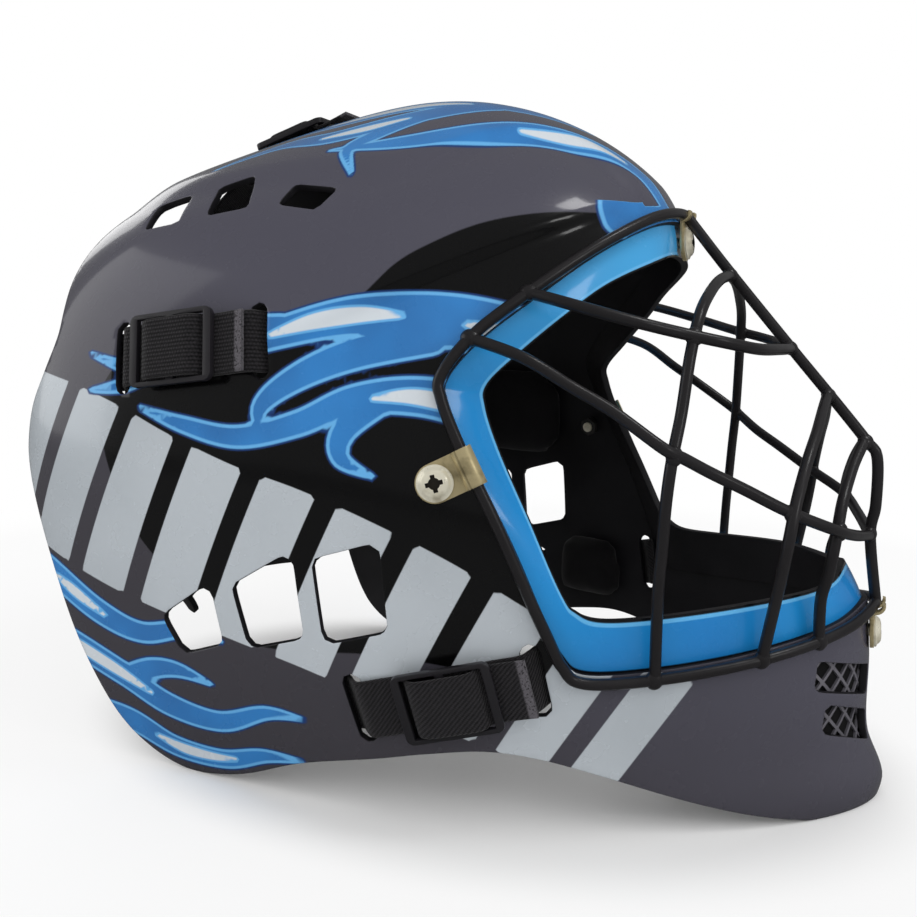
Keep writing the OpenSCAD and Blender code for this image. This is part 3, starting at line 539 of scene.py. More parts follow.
def rows_of(*rows: Sequence[float]) -> Any:
    """Field of a dataclass that holds a table of numbers."""
    return field(default_factory=lambda: np.array(rows))


def together(a: Any, b: Any) -> list[Array]:
    """Two sets of numbers stretched to the same shape."""
    return np.broadcast_arrays(np.asarray(a, float), np.asarray(b, float))


def smooth(t: Array) -> Array:
    """Smooth step from 0 to 1."""
    c = np.clip(t, 0, 1)
    return c * c * (3 - 2 * c)


def unit(v: Array) -> Array:
    """Vectors of length one."""
    return v / np.maximum(np.linalg.norm(v, axis=-1, keepdims=True), 1e-12)


def laid(v: Array, n: Array) -> Array:
    """Direction laid into the surface whose normal is given."""
    return unit(v - n * (v @ n))


def even(points: Array, step: float) -> Array:
    """Smooth curve through points, sampled at an even spacing.

    Args:
        points: Rows whose first three numbers, or two, are a place; the others go along.
        step: Spacing of the samples.

    Returns:
        The evenly spaced rows.
    """
    dense = along(points, np.linspace(0, 1, 60 * len(points)))
    run = np.concatenate([[0], np.cumsum(np.linalg.norm(np.diff(dense[:, :3], axis=0), axis=1))])
    n = max(int(run[-1] / step), 4)
    return np.stack([np.interp(np.linspace(0, run[-1], n + 1), run, dense[:, k]) for k in range(dense.shape[1])], 1)


def outline_distance(outline: Array, a: Array, b: Array) -> Array:
    """Distance to a closed outline in a plane, negative inside.

    Args:
        outline: Corners of the outline.
        a: First coordinate of the places asked for.
        b: Second coordinate.

    Returns:
        Signed distances.
    """
    best = np.full(a.shape, 1e9)
    inside = np.zeros(a.shape, bool)
    for p, q in zip(outline, np.roll(outline, -1, axis=0)):
        e = q - p
        k = np.clip(((a - p[0]) * e[0] + (b - p[1]) * e[1]) / max(e @ e, 1e-12), 0, 1)
        best = np.minimum(best, np.hypot(a - p[0] - k * e[0], b - p[1] - k * e[1]))
        if p[1] != q[1]:
            inside ^= ((p[1] > b) != (q[1] > b)) & (a < (q[0] - p[0]) * (b - p[1]) / (q[1] - p[1]) + p[0])
    return np.where(inside, -best, best)


def stroke_distance(stroke: Array, a: Array, b: Array) -> Array:
    """Distance to a tapered brush stroke.

    Args:
        stroke: Rows of two coordinates and half a width.
        a: First coordinate of the places asked for.
        b: Second coordinate.

    Returns:
        Signed distances, negative inside.
    """
    path = even(stroke, 1.6)
    best = np.full(a.shape, 1e9)
    for p, q in zip(path[:-1], path[1:]):
        e = q[:2] - p[:2]
        k = np.clip(((a - p[0]) * e[0] + (b - p[1]) * e[1]) / max(e @ e, 1e-12), 0, 1)
        best = np.minimum(best, np.hypot(a - p[0] - k * e[0], b - p[1] - k * e[1]) - (p[2] + k * (q[2] - p[2])))
    return best


@dataclass
class HeadForm:
    """Outer surface of the shell, by level from the bottom and angle from the face."""

    half_w: float = 118.0
    height: float = 276.0
    chin: float = 170.4
    rear: float = 166.0
    crest_h: float = 3.5
    crest_z: float = 225.0
    crest_half: float = 30.0
    crest_spread: float = 46.0
    ridge_d: float = 4.0
    ridge_z: float = 172.0
    ridge_slope: float = 0.486
    sections: Array = rows_of(
        [-0.050, 0.814, -0.960, 1.145, 0.36, 1.6, 4], [0.026, 0.873, -1.003, 1.15, 0.36, 1.6, 4],
        [0.103, 0.924, -0.96, 1.157, 0.36, 1.6, 4], [0.22, 0.975, -0.951, 1.175, 0.36, 1.6, 4],
        [0.349, 1, -0.921, 1.18, 0.36, 1.6, 4], [0.477, 0.992, -0.839, 1.18, 0.35, 1.6, 4],
        [0.606, 0.953, -0.692, 1.169, 0.33, 1.65, 3.8], [0.716, 0.881, -0.569, 1.133, 0.3, 1.85, 3.4],
        [0.807, 0.78, -0.487, 1.04, 0.253, 2.1, 2.8], [0.87, 0.644, -0.405, 0.9, 0.205, 2.2, 2.4],
        [0.925, 0.47, -0.293, 0.67, 0.169, 2.2, 2.1], [0.967, 0.295, -0.158, 0.45, 0.145, 2.1, 2],
        [0.992, 0.145, -0.018, 0.27, 0.127, 2, 2], [1, 0, 0.117, 0.12, 0.12, 2, 2],
    )

    def __post_init__(self) -> None:
        """Fills the tables that turn a height or a rear reach into a level."""
        self.dome = self.height - self.crest_h
        self.levels = np.linspace(0, 1, 4001)
        self.level_rows = along(self.sections, self.levels)

    def section(self, level: Array) -> Array:
        """Sizes of the horizontal section at each level.

        Args:
            level: Levels from 0 at the bottom to 1 at the top.

        Returns:
            Height, half width, reach to the front and the back, middle and both powers, in the last place.
        """
        s = along(self.sections, level)
        s[..., 1] = np.maximum(s[..., 1], 0)
        return s * np.array([self.dome, self.half_w, self.chin, self.rear, self.rear, 1, 1])

    def raw(self, s: Array, angle: Array) -> Array:
        """Points on sections, before the crest and the ridge.

        Args:
            s: Sizes of the sections.
            angle: Angles from the face, in degrees.

        Returns:
            The points.
        """
        z, half, chin, rear, middle, front_power, back_power = np.moveaxis(s, -1, 0)
        c, q = np.cos(np.radians(angle)), np.sin(np.radians(angle))
        q = np.where(np.abs(q) < 1e-9, 0, q)
        k = np.where(c >= 0, front_power, back_power)
        x = np.sign(q) * half * np.abs(q) ** (2 / k)
        back = middle + (rear - middle) * np.maximum(-c, 0) ** (2 / k)
        front = middle - (middle - chin) * c
        return np.stack([x, np.where(c >= 0, front, back), z + 0 * x], -1)

    def relief(self, p: Array) -> Array:
        """Adds the crest and the hollow under the brow ridge.

        Args:
            p: Points of the plain form.

        Returns:
            The points of the finished form.
        """
        x, y, z = p[..., 0], p[..., 1], p[..., 2]
        width = self.crest_half + self.crest_spread * smooth((y + 45) / 65)
        rise = self.crest_h * smooth((width - np.abs(x)) / 12 + 0.5) * smooth((z - self.crest_z) / 12)
        below = self.ridge_z + self.ridge_slope * (55 - y) - z
        hollow = self.ridge_d * smooth(below / 8) * (1 - smooth((below - 12) / 30))
        hollow = hollow * smooth((60 - y) / 60) * smooth((np.abs(x) - 12) / 40)
        k = np.where(np.abs(x) > 1, np.maximum(np.abs(x) - hollow, 0) / np.maximum(np.abs(x), 1), 1)
        return np.stack([x * k, y, z + rise], -1)

    def point(self, level: Any, angle: Any) -> Array:
        """Point of the finished surface."""
        level, angle = together(level, angle)
        return self.relief(self.raw(self.section(level), angle))

    def normal(self, level: Any, angle: Any) -> Array:
        """Outward normal of the finished surface.

        Args:
            level: Levels of the places.
            angle: Their angles.

        Returns:
            Normals of length one.
        """
        level, angle = together(level, angle)
        low, d, g = np.minimum(level, 0.985), 0.006, 1.5
        across = self.point(low, angle + g) - self.point(low, angle - g)
        return unit(np.cross(across, self.point(low + d, angle) - self.point(low - d, angle)))

    def inset(self, level: Any, angle: Any, depth: Any) -> Array:
        """Point at a depth under the surface."""
        return self.point(level, angle) - np.asarray(depth)[..., None] * self.normal(level, angle)

    def level_at(self, z: Any) -> Array:
        """Level of a height."""
        return np.interp(z, self.level_rows[:, 0] * self.dome, self.levels)

    def angle_at(self, level: Any, y: Any) -> Array:
        """Angle on the left side at which a level reaches a distance behind the origin.

        Args:
            level: Levels of the places.
            y: Their distances behind the origin.

        Returns:
            Angles in degrees.
        """
        _, _, chin, rear, middle, _, power = np.moveaxis(self.section(np.asarray(level, float)), -1, 0)
        y = np.asarray(y, float)
        front = np.degrees(np.arccos(np.clip((middle - y) / (middle - chin), -1, 1)))
        part = np.clip((y - middle) / (rear - middle), 0, 1)
        return np.where(y < middle, front, np.degrees(np.arccos(-(part ** (power / 2)))))

    def cheek(self, y: Any, z: Any, depth: Any = 0.0) -> Array:
        """Point under the left cheek's surface."""
        level = self.level_at(z)
        return self.inset(level, self.angle_at(level, y), depth)

    def cheek_normal(self, y: Any, z: Any) -> Array:
        """Normal of the left cheek's surface."""
        level = self.level_at(z)
        return self.normal(level, self.angle_at(level, y))

    def cheek_row(self, y: float, z: float, depth: float) -> list[float]:
        """Point under the left cheek's surface, followed by the normal."""
        return [*self.cheek(y, z, depth), *self.cheek_normal(y, z)]

    def top_level(self, y: Any) -> Array:
        """Level at which the crown's rear profile reaches y."""
        keep = self.levels > 0.4
        return np.interp(-np.asarray(y, float), -self.level_rows[keep, 3] * self.rear, self.levels[keep])

    def top_point(self, y: Any, depth: Any = 0.0) -> Array:
        """Point on the crown's middle line."""
        return self.inset(self.top_level(y), 180.0, depth)

    def top_normal(self, y: Any) -> Array:
        """Normal on the crown's middle line."""
        return self.normal(self.top_level(y), 180.0)


FORM = HeadForm()


# --- Modelling helpers ---
def deselect() -> None:
    """Leaves object mode with nothing selected."""
    if bpy.context.object and bpy.context.object.mode != "OBJECT":
        bpy.ops.object.mode_set(mode="OBJECT")
    bpy.ops.object.select_all(action="DESELECT")


def activate(obj: Piece) -> None:
    """Selects one object alone and makes it active.

    Args:
        obj: The piece.
    """
    deselect()
    obj.select_set(True)
    bpy.context.view_layer.objects.active = obj


def modify(obj: Piece, kind: str, **settings: Any) -> None:
    """Adds a modifier and applies it.

    Args:
        obj: The piece.
        kind: Type of the modifier.
        settings: Its settings.
    """
    activate(obj)
    bpy.ops.object.modifier_add(type=kind)
    modifier = obj.modifiers[-1]
    for key, setting in settings.items():
        setattr(modifier, key, setting)
    bpy.ops.object.modifier_apply(modifier=modifier.name)


@contextmanager
def editing(obj: Piece, action: Optional[str] = "SELECT") -> Iterator[None]:
    """Edit mode on one piece, left again at the end.

    Args:
        obj: The piece.
        action: What becomes of its selection at the start, or None to keep it.

    Yields:
        Nothing, once edit mode is on.
    """
    activate(obj)
    bpy.ops.object.mode_set(mode="EDIT")
    if action:
        bpy.ops.mesh.select_all(action=action)
    yield
    bpy.ops.object.mode_set(mode="OBJECT")


def tidy_mesh(obj: Piece, merge: float = 1e-6, cap: bool = False) -> None:
    """Merges doubles, closes open ends and turns the faces outwards.

    Args:
        obj: The piece.
        merge: Distance within which points are merged, in metres.
        cap: Whether open ends get a face.
    """
    with editing(obj):
        bpy.ops.mesh.remove_doubles(threshold=merge)
        if cap:
            bpy.ops.mesh.select_mode(type="EDGE")
            bpy.ops.mesh.select_all(action="DESELECT")
            bpy.ops.mesh.select_non_manifold()
            bpy.ops.mesh.edge_face_add()
            bpy.ops.mesh.select_all(action="SELECT")
        bpy.ops.mesh.normals_make_consistent(inside=False)


def flip(obj: Piece) -> None:
    """Turns every face of a piece round."""
    with editing(obj):
        bpy.ops.mesh.flip_normals()


def face_along_y(obj: Piece, sign: int) -> None:
    """Turns the faces of an open sheet to the back (1) or the front (-1)."""
    if sign * sum(f.normal.y * f.area for f in obj.data.polygons) < 0:
        flip(obj)


def join(name: str, pieces: Sequence[Piece]) -> Piece:
    """Joins pieces into the first one, which keeps its material slots in front.

    Args:
        name: Name of the result.
        pieces: The pieces.

    Returns:
        The first piece with all the others in it.
    """
    deselect()
    for piece in pieces:
        piece.select_set(True)
    bpy.context.view_layer.objects.active = pieces[0]
    bpy.ops.object.join()
    pieces[0].name = pieces[0].data.name = name
    return pieces[0]


def round_edges(obj: Piece, width: float, segments: int, sharp: float = 50.0, **settings: Any) -> None:
    """Bevels the edges that are sharper than an angle.

    Args:
        obj: The piece.
        width: Width of the rounding in millimetres.
        segments: Faces across each rounding.
        sharp: The angle in degrees.
        settings: Other settings of the modifier.
    """
    limit = math.radians(sharp)
    modify(obj, "BEVEL", width=width * MM, segments=segments, limit_method="ANGLE", angle_limit=limit, **settings)


def soften(obj: Piece, angle: float = 40.0) -> None:
    """Shades smooth except over edges sharper than the angle."""
    activate(obj)
    bpy.ops.object.shade_smooth_by_angle(angle=math.radians(angle))


def dress(obj: Piece, *materials: Material) -> None:
    """Gives a piece its materials.

    Args:
        obj: The piece.
        materials: Its materials, in the order of their slots.
    """
    obj.data.materials.clear()
    for material in materials:
        obj.data.materials.append(material)


def lattice(name: str, points: Array, size: tuple[float, float] = (1.0, 1.0)) -> Piece:
    """Lays a grid primitive over rows and columns of points in millimetres.

    Args:
        name: The piece's name.
        points: Points by row and column.
        size: Length of the UV map round and along, in millimetres.

    Returns:
        The new piece, its UV map scaled to the size.
    """
    rows, cols = points.shape[:2]
    deselect()
    bpy.ops.mesh.primitive_grid_add(x_subdivisions=cols - 1, y_subdivisions=rows - 1, size=1)
    obj = bpy.context.object
    obj.name = obj.data.name = name
    obj.data.vertices.foreach_set("co", (points.reshape(-1) * MM).astype(np.float32))
    layer = obj.data.uv_layers.active.data
    uv = np.zeros(len(layer) * 2, np.float32)
    layer.foreach_get("uv", uv)
    layer.foreach_set("uv", (uv.reshape(-1, 2) * np.array(size, np.float32)).reshape(-1))
    obj.data.update()
    return obj


def frames(path: Array, out: Array, closed: bool = False) -> tuple[Array, Array, Array]:
    """Directions at each point of a path.

    Args:
        path: Points of the path.
        out: Rough outward direction at each point.
        closed: Whether the path ends where it starts.

    Returns:
        Tangents, sideways and outward directions.
    """
    if closed:
        t = unit(np.roll(path, -1, 0) - np.roll(path, 1, 0))
    else:
        t = unit(np.gradient(path, axis=0))
    w = unit(np.cross(out, t))
    return t, w, np.cross(t, w)


def sweep(
    name: str, path: Array, out: Array, profile: Array, closed: bool = False
) -> Piece:
    """Sweeps a closed profile along a path.

    Args:
        name: The piece's name.
        path: Points of the path.
        out: Outward direction at each point.
        profile: Closed profile as sideways and outward offsets.
        closed: Whether the path ends where it starts.

    Returns:
        The closed piece with a UV map in millimetres.
    """
    t, w, u = frames(path, out, closed)
    rim = np.vstack([profile, profile[:1]])
    rings = path[:, None] + w[:, None] * rim[None, :, :1] + u[:, None] * rim[None, :, 1:]
    if closed:
        rings = np.vstack([rings, rings[:1]])
    length = np.linalg.norm(np.diff(rings[:, 0], axis=0), axis=1).sum()
    round_mm = np.linalg.norm(np.diff(rim, axis=0), axis=1).sum()
    obj = lattice(name, rings, (round_mm, length))
    tidy_mesh(obj, cap=not closed)
    return obj


def round_profile(radius: float) -> Array:
    """Circle as a profile."""
    a = np.linspace(0, 2 * math.pi, PROFILE_POINTS, endpoint=False)
    return radius * np.stack([np.cos(a), np.sin(a)], 1)


def band_profile(width: float, thick: float) -> Array:
    """Flat band with round edges, its outer face first.

    Args:
        width: Width of the band.
        thick: Its thickness.

    Returns:
        The profile.
    """
    r, half = thick / 2, width / 2 - thick / 2
    arc = np.linspace(-90, 90, 5)[1:-1]
    top = np.stack([np.linspace(-half, half, PROFILE_POINTS), np.full(PROFILE_POINTS, r)], 1)
    right = np.stack([half + r * np.cos(np.radians(-arc)), r * np.sin(np.radians(-arc))], 1)
    left = np.stack([-half - r * np.cos(np.radians(arc)), r * np.sin(np.radians(arc))], 1)
    return np.vstack([top, right, -top, left])


def mirror_x(obj: Piece, name: str) -> Piece:
    """Copy of a piece on the other side of the head, with its own mesh.

    Args:
        obj: The left piece.
        name: Name of the right one.

    Returns:
        The right piece.
    """
    twin = obj.copy()
    twin.data = obj.data.copy()
    twin.name = twin.data.name = name
    bpy.context.collection.objects.link(twin)
    twin.data.transform(Matrix.Scale(-1, 4, (1, 0, 0)))
    flip(twin)
    return twin


def trimmed(
    name: str, points: Array, keep: Array, fields: dict[str, Array], wrap: bool = False
) -> Piece:
    """Builds a sheet from a grid of points, cut cleanly where a distance passes zero.

    Args:
        name: The piece's name.
        points: Points by row and column, in millimetres.
        keep: Signed distance from the cut at each point, positive where the sheet stays.
        fields: Numbers stored on the mesh, by name.
        wrap: Whether the last column joins the first.

    Returns:
        The open sheet.
    """
    snap, most = 0.32, 0.4
    f = keep.astype(float).copy()
    rows = np.concatenate([points, *(v[..., None] for v in fields.values())], -1).astype(float)

    def slope(a: Array, axis: int) -> Array:
        """Central difference by one cell.

        Args:
            a: Numbers by row and column.
            axis: 0 along the rows and 1 across.

        Returns:
            The differences.
        """
        if axis == 1 and wrap:
            return (np.roll(a, -1, 1) - np.roll(a, 1, 1)) / 2
        return np.gradient(a, axis=axis)

    fi, fj = slope(f, 0), slope(f, 1)
    size = fi**2 + fj**2 + 1e-9
    near = np.abs(f) < snap * np.sqrt(size)
    move_i, move_j = (np.clip(-f * d / size, -most, most)[..., None] for d in (fi, fj))
    rows[near] += (move_i * slope(rows, 0) + move_j * slope(rows, 1))[near]
    f[near] = 0
    index = np.arange(f.size).reshape(f.shape)
    right = np.roll(index, -1, 1) if wrap else index[:, 1:]
    left = index if wrap else index[:, :-1]
    cells = np.stack([left[:-1], right[:-1], right[1:], left[1:]], -1).reshape(-1, 4)
    flat, rows = f.reshape(-1), rows.reshape(f.size, -1)
    corner = flat[cells]
    whole = (corner >= 0).all(1) & (corner > 0).any(1)
    cut = (corner > 0).any(1) & (corner < 0).any(1)
    faces = cells[whole].tolist()
    added: list[Array] = []
    seen: dict[tuple[int, int], int] = {}
    for cell in cells[cut].tolist():
        polygon: list[int] = []
        for a, b in zip(cell, cell[1:] + cell[:1]):
            if flat[a] >= 0:
                polygon.append(a)
            if (flat[a] > 0 > flat[b]) or (flat[a] < 0 < flat[b]):
                low, high = min(a, b), max(a, b)
                if (low, high) not in seen:
                    t = flat[low] / (flat[low] - flat[high])
                    seen[low, high] = f.size + len(added)
                    added.append(rows[low] * (1 - t) + rows[high] * t)
                polygon.append(seen[low, high])
        if len(polygon) > 2:
            faces.append(polygon)
    rows = np.vstack([rows, *added])
    used = np.zeros(len(rows), bool)
    used[[i for face in faces for i in face]] = True
    order = np.cumsum(used) - 1
    mesh = bpy.data.meshes.new(name)
    mesh.from_pydata((rows[used, :3] * MM).tolist(), [], [[int(order[i]) for i in face] for face in faces])
    for column, key in enumerate(fields, 3):
        mesh.attributes.new(key, "FLOAT", "POINT").data.foreach_set("value", rows[used, column].astype(np.float32))
    obj = bpy.data.objects.new(name, mesh)
    bpy.context.collection.objects.link(obj)
    return obj


def cad_copy(node: str, name: str, bevel: float = 0.0, segments: int = 2) -> Piece:
    """Copies a CAD node's merged mesh and rounds its edges.

    Args:
        node: The CAD node.
        name: Name of the new piece.
        bevel: Width of the rounding in millimetres.
        segments: Faces across each rounding.

    Returns:
        The new piece.
    """
    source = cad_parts[node]
    obj = bpy.data.objects.new(name, source.data.copy())
    obj.data.name = name
    bpy.context.collection.objects.link(obj)
    tidy_mesh(obj, 1e-5)
    modify(obj, "DECIMATE", decimate_type="DISSOLVE", angle_limit=math.radians(1.5))
    if bevel:
        round_edges(obj, bevel, segments, 35.0, harden_normals=False, miter_outer="MITER_ARC")
    soften(obj, 32)
    return obj


def finish_piece(
    obj: Piece, body: str, nodes: Iterable[str] = (), materials: Sequence[Any] = ()
) -> None:
    """Dresses a piece, ties it to its body, hides the CAD nodes that it replaces, and reports it.

    Args:
        obj: The piece.
        body: The body that it moves with.
        nodes: The CAD nodes that it replaces.
        materials: Its materials, if it isn't dressed yet.
    """
    if materials:
        dress(obj, *materials)
    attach(obj, body)
    nodes = list(nodes)
    if nodes:
        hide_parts(*nodes)
    LOG.info("%s: %d faces, for %s", obj.name, len(obj.data.polygons), ", ".join(nodes) or "trim")


class Finishes:
    """The finishes of the whole object, each made once."""

    def __init__(self) -> None:
        """Builds every material."""
        self.paint = ShellPaint().build()
        self.flange = FlangePaint().build()
        self.inside = Moulded("shell_inside", "1e1d21", "131216", 0.5, coat=0.05).build()
        self.wire = Moulded("wire_coating", "181618", "1f1d1f", 0.36, 500.0, 0.00005, coat=0.3).build()
        self.plate = Moulded("back_plate_plastic", "151517", "101012", 0.5).build()
        self.adjuster = Moulded("adjuster_plastic", "211f23", "19181c", 0.4, coat=0.15).build()
        self.net = Moulded("net_plastic", "6b6970", "4f4d54", 0.5).build()
        # Near-black sheet behind the chin nets: painted shade of the helmet's inside.
        self.backing = Moulded("net_shade_sheet", "0c0c0d", "111012", 0.9, 1600.0, 0.0001).build()
        self.clip = Plated("clip_plating", "d6c699", "56482c", metal=0.65).build()
        self.screw = Plated("screw_plating", "f4efda", "9c9070", 0.2).build()
        # Dark brown of the screws' cross recesses: painted shade.
        self.recess = Moulded("screw_recess_shade", "2a2418", "19150e", 0.5).build()
        self.nut = Plated("nut_plating", "3c3b3a", "24221f", 0.35).build()
        self.ribbed = Webbing(Weave.RIBBED).build()
        self.twill = Webbing(Weave.TWILL).build()
        self.foam = Foam().build()


# --- Rim of the face opening ---
@dataclass
class Rim:
    """Edge of the shell round the face, its flange and the wire that runs on it."""

    step: float = 1.5
    wall: float = 3.0
    wire_d: float = 4.2
    gap: float = 0.7
    lap: float = 2.0
    edge_points: int = 241
    table: Array = rows_of(
        [-0.470, 0.830, 0, 0, -15], [-0.423, 0.811, 3, -5, -14], [-0.335, 0.763, 5, -7, -10.5],
        [-0.252, 0.712, 8.5, -11, -7], [-0.164, 0.657, 11.5, -12, -6.5], [-0.112, 0.606, 14.5, -11.5, -3.5],
        [-0.117, 0.576, 14.5, -11, -3], [-0.164, 0.514, 14.5, -8.5, -0.5], [-0.247, 0.415, 12, -7.5, 1],
        [-0.335, 0.294, 7.5, -4.5, 10], [-0.370, 0.246, 5.5, -3, 18], [-0.411, 0.224, 5, -4, 21],
        [-0.540, 0.228, 2.5, 0, 21], [-0.728, 0.246, 2, 0, 20], [-0.880, 0.268, 1, 5, 16], [-0.939, 0.286, 0, 9.5, 15],
    )

    def rows(self, v: Any) -> tuple[Array, Array, Array]:
        """Points of the left half of the rim.

        Args:
            v: Places along the rim, from the brow (0) to the chin (1).

        Returns:
            Points, normals and offsets of the flange's lip.
        """
        v = np.asarray(v, float)
        r = along(self.table, v)
        y, z = r[..., 0] * FORM.chin, r[..., 1] * FORM.dome
        level = FORM.level_at(z)
        angle = np.where((v <= 0) | (v >= 1), 0.0, FORM.angle_at(level, y))
        return FORM.point(level, angle), FORM.normal(level, angle), np.stack([-r[..., 2], r[..., 3], r[..., 4]], -1)

    def wire(self, v: Any) -> Array:
        """Middle of the rim wire."""
        p, n, _ = self.rows(v)
        return p + (self.wire_d / 2 + self.gap) * n

    def lip(self, p: Array, d: Array) -> Array:
        """Lip of the flange, kept on its own side of the middle."""
        return np.maximum(p + d, [0, -np.inf, -np.inf])

    def edge(self) -> Array:
        """Cut line of the shell's wall seen from the side.

        Returns:
            Points of the cut line.
        """
        v = np.linspace(0, 1, self.edge_points)
        r = along(self.table, v)
        d = unit(r[:, 3:5])
        return np.stack([r[:, 0] * FORM.chin, r[:, 1] * FORM.dome], 1) + self.lap * d


RIM = Rim()


def around(half: Array) -> Array:
    """Closes a half loop with its mirror image.

    Args:
        half: The left half, from one middle point to the other.

    Returns:
        The whole loop.
    """
    twin = half[-2:0:-1].copy()
    twin[..., 0] *= -1
    return np.concatenate([half, twin])


# --- Shell ---
@dataclass
class Opening:
    """Rounded hole cut square to the surface."""

    centre: Array
    normal: Array
    along: Array
    corners: Array
    radius: float
    depth: float = 14.0

    def distance(self, p: Array) -> Array:
        """Distance outside the hole at each point.

        Args:
            p: Points of the surface.

        Returns:
            Distances, large where the surface is too far away for the cut.
        """
        d = p - self.centre
        b = np.cross(self.normal, self.along)
        edge = outline_distance(self.corners, d @ self.along, d @ b) - self.radius
        return np.where(np.abs(d @ self.normal) < self.depth, edge, UNCUT)


def webbing_slot(p: Array, n: Array, t: Array, half: float) -> Opening:
    """Slot across the webbing's run, with round ends.

    Args:
        p: Middle of the slot.
        n: Normal of the surface there.
        t: Direction of the webbing.
        half: Half the distance between the round ends' centres.

    Returns:
        The slot.
    """
    return Opening(p, n, t, np.array([[0, -half], [0.01, -half], [0.01, half], [0, half]]), 3.5)


@dataclass
class Shell:
    """Moulded front shell with its vents, slots, paint and flange."""

    finishes: Finishes
    wall: float = 3.0
    cell: float = 2.4
    cheek_vents: tuple = (
        ((83.0, 55.8), (61.8, 60.6), (64.4, 83.2), (88.0, 72.4)),
        ((51.1, 63.1), (27.1, 68.0), (29.8, 99.3), (55.3, 88.3)),
        ((19.7, 68.9), (-4.6, 73.8), (-2.3, 106.3), (22.5, 100.7)),
    )
    crown_vents: tuple = (
        ((117.1, 216.8), (99.3, 219.1), (101.4, 230.5), (119.1, 227.3)),
        ((85.9, 221.9), (67.9, 224.2), (72.1, 235.8), (88.3, 232.9)),
        ((53.8, 225.0), (35.7, 223.1), (32.3, 231.7), (51.9, 233.2)),
    )
    slot_half: float = 10.5
    chin_slots: tuple = ((47.5, 8.5, 36), (29, 9, 31))
    chin_front: float = -119.0
    bend: float = 15.0
    half_girth: float = 450.0
    beyond: float = 340.0

    def vent(self, corners: Sequence[Any], r: float) -> Opening:
        """Four-sided vent in the cheek or the crown's side.

        Args:
            corners: The four places, by distance behind the origin and height.
            r: Radius of the corners.

        Returns:
            The vent.
        """
        q = np.array(corners)
        p, n = FORM.cheek(*q.mean(0)), FORM.cheek_normal(*q.mean(0))
        t = unit(np.array([0, -1, 0]) + n * n[1])
        flat = (FORM.cheek(q[:, 0], q[:, 1]) - p) @ np.stack([t, np.cross(n, t)], 1)
        return Opening(p, n, t, flat - np.sign(flat) * r, r)

    def openings(self) -> list[Opening]:
        """Every vent and slot of the left side and the crown.

        Returns:
            The openings.
        """
        holes = [self.vent(v, 4) for v in self.cheek_vents] + [self.vent(v, 2) for v in self.crown_vents]
        for run in (Webs.upper, Webs.lower):
            d = unit(run[1] - run[0])
            for q in run:
                p, n = FORM.cheek(*q), FORM.cheek_normal(*q)
                v = FORM.cheek(*(q + d)) - p
                holes.append(webbing_slot(p, n, laid(v, n), self.slot_half))
        for y in Webs.top:
            n = FORM.top_normal(y)
            holes.append(webbing_slot(FORM.top_point(y), n, unit(np.cross([1, 0, 0], n)), self.slot_half))
        return holes

    def cuts(self, p: Array) -> Array:
        """Distance from the nearest cut.

        Args:
            p: Points of the surface.

        Returns:
            Signed distances, positive on the shell.
        """
        x, y, z = np.abs(p[..., 0]), p[..., 1], p[..., 2]
        left = np.stack([x, y, z], -1)
        edge, far = RIM.edge(), self.beyond
        face = np.vstack([edge, [[-far, edge[-1, 1]], [-far, edge[0, 1]]]])
        keep = outline_distance(face, y, z)
        rear = along(Patterns.rear_edge, np.linspace(0, 1, 200)) * [FORM.rear, FORM.dome]
        behind = outline_distance(np.vstack([rear, [[far, rear[-1, 1]], [far, rear[0, 1]]]]), y, z)
        keep = np.minimum(keep, behind)
        back = Patterns.lower_rear * [FORM.rear, 1]
        front = Patterns.lower_front * [FORM.chin, 1]
        low = along(np.vstack([back, front]), np.linspace(0, 1, 200))
        low = np.vstack([[[far, -far], [far, 0]], low, [[-far, 0], [-far, -far]]])
        below = np.minimum(outline_distance(low, y, z), z)
        keep = np.minimum(keep, below)
        bend = self.bend
        corner = bend - np.hypot(np.maximum(bend - behind, 0), np.maximum(bend - below, 0))
        keep = np.where((behind < bend) & (below < bend) & (y > 60), np.minimum(keep, corner), keep)
        for hole in self.openings():
            keep = np.minimum(keep, hole.distance(left))
        for middle, rise, reach in self.chin_slots:
            corners = [[3, middle - 6], [reach - 2, middle + rise - 6], [reach, middle + rise - 4]]
            corners += [[reach - 1, middle + rise + 6], [3, middle + 6]]
            slot = outline_distance(np.array(corners, float), x, z)
            keep = np.minimum(keep, np.where(y < self.chin_front, slot, UNCUT))
        return keep

    def surface(self) -> Array:
        """Even grid of points over the whole head form.

        Returns:
            Points by row, from the bottom up, and by column round the head.
        """
        lv = FORM.levels
        rows = FORM.level_rows * [FORM.dome, FORM.half_w, FORM.chin, FORM.rear, FORM.rear, 1, 1]
        run = np.concatenate([[0], np.cumsum(np.linalg.norm(np.diff(rows[:, [0, 1, 3]], axis=0), axis=1))])
        n = int(run[-1] / self.cell)
        levels = np.interp(np.linspace(0, run[-1], n + 1), run, lv)[:-1]
        u = np.linspace(0, 1, 500)
        dense = np.concatenate([90 * u, 90 + 45 * u[1:] ** 3, 180 - 45 * (1 - u[1:]) ** 3])
        cols = int(self.half_girth / self.cell)
        angles = []
        for level in levels:
            raw = FORM.raw(FORM.section(np.full(dense.shape, level)), dense)
            s = np.concatenate([[0], np.cumsum(np.linalg.norm(np.diff(raw, axis=0), axis=1))])
            angles.append(np.interp(np.linspace(0, s[-1], cols + 1), s, dense))
        half = FORM.point(levels[:, None], np.array(angles))
        twin = half[:, -2:0:-1] * [-1, 1, 1]
        return np.concatenate([half, twin], 1)

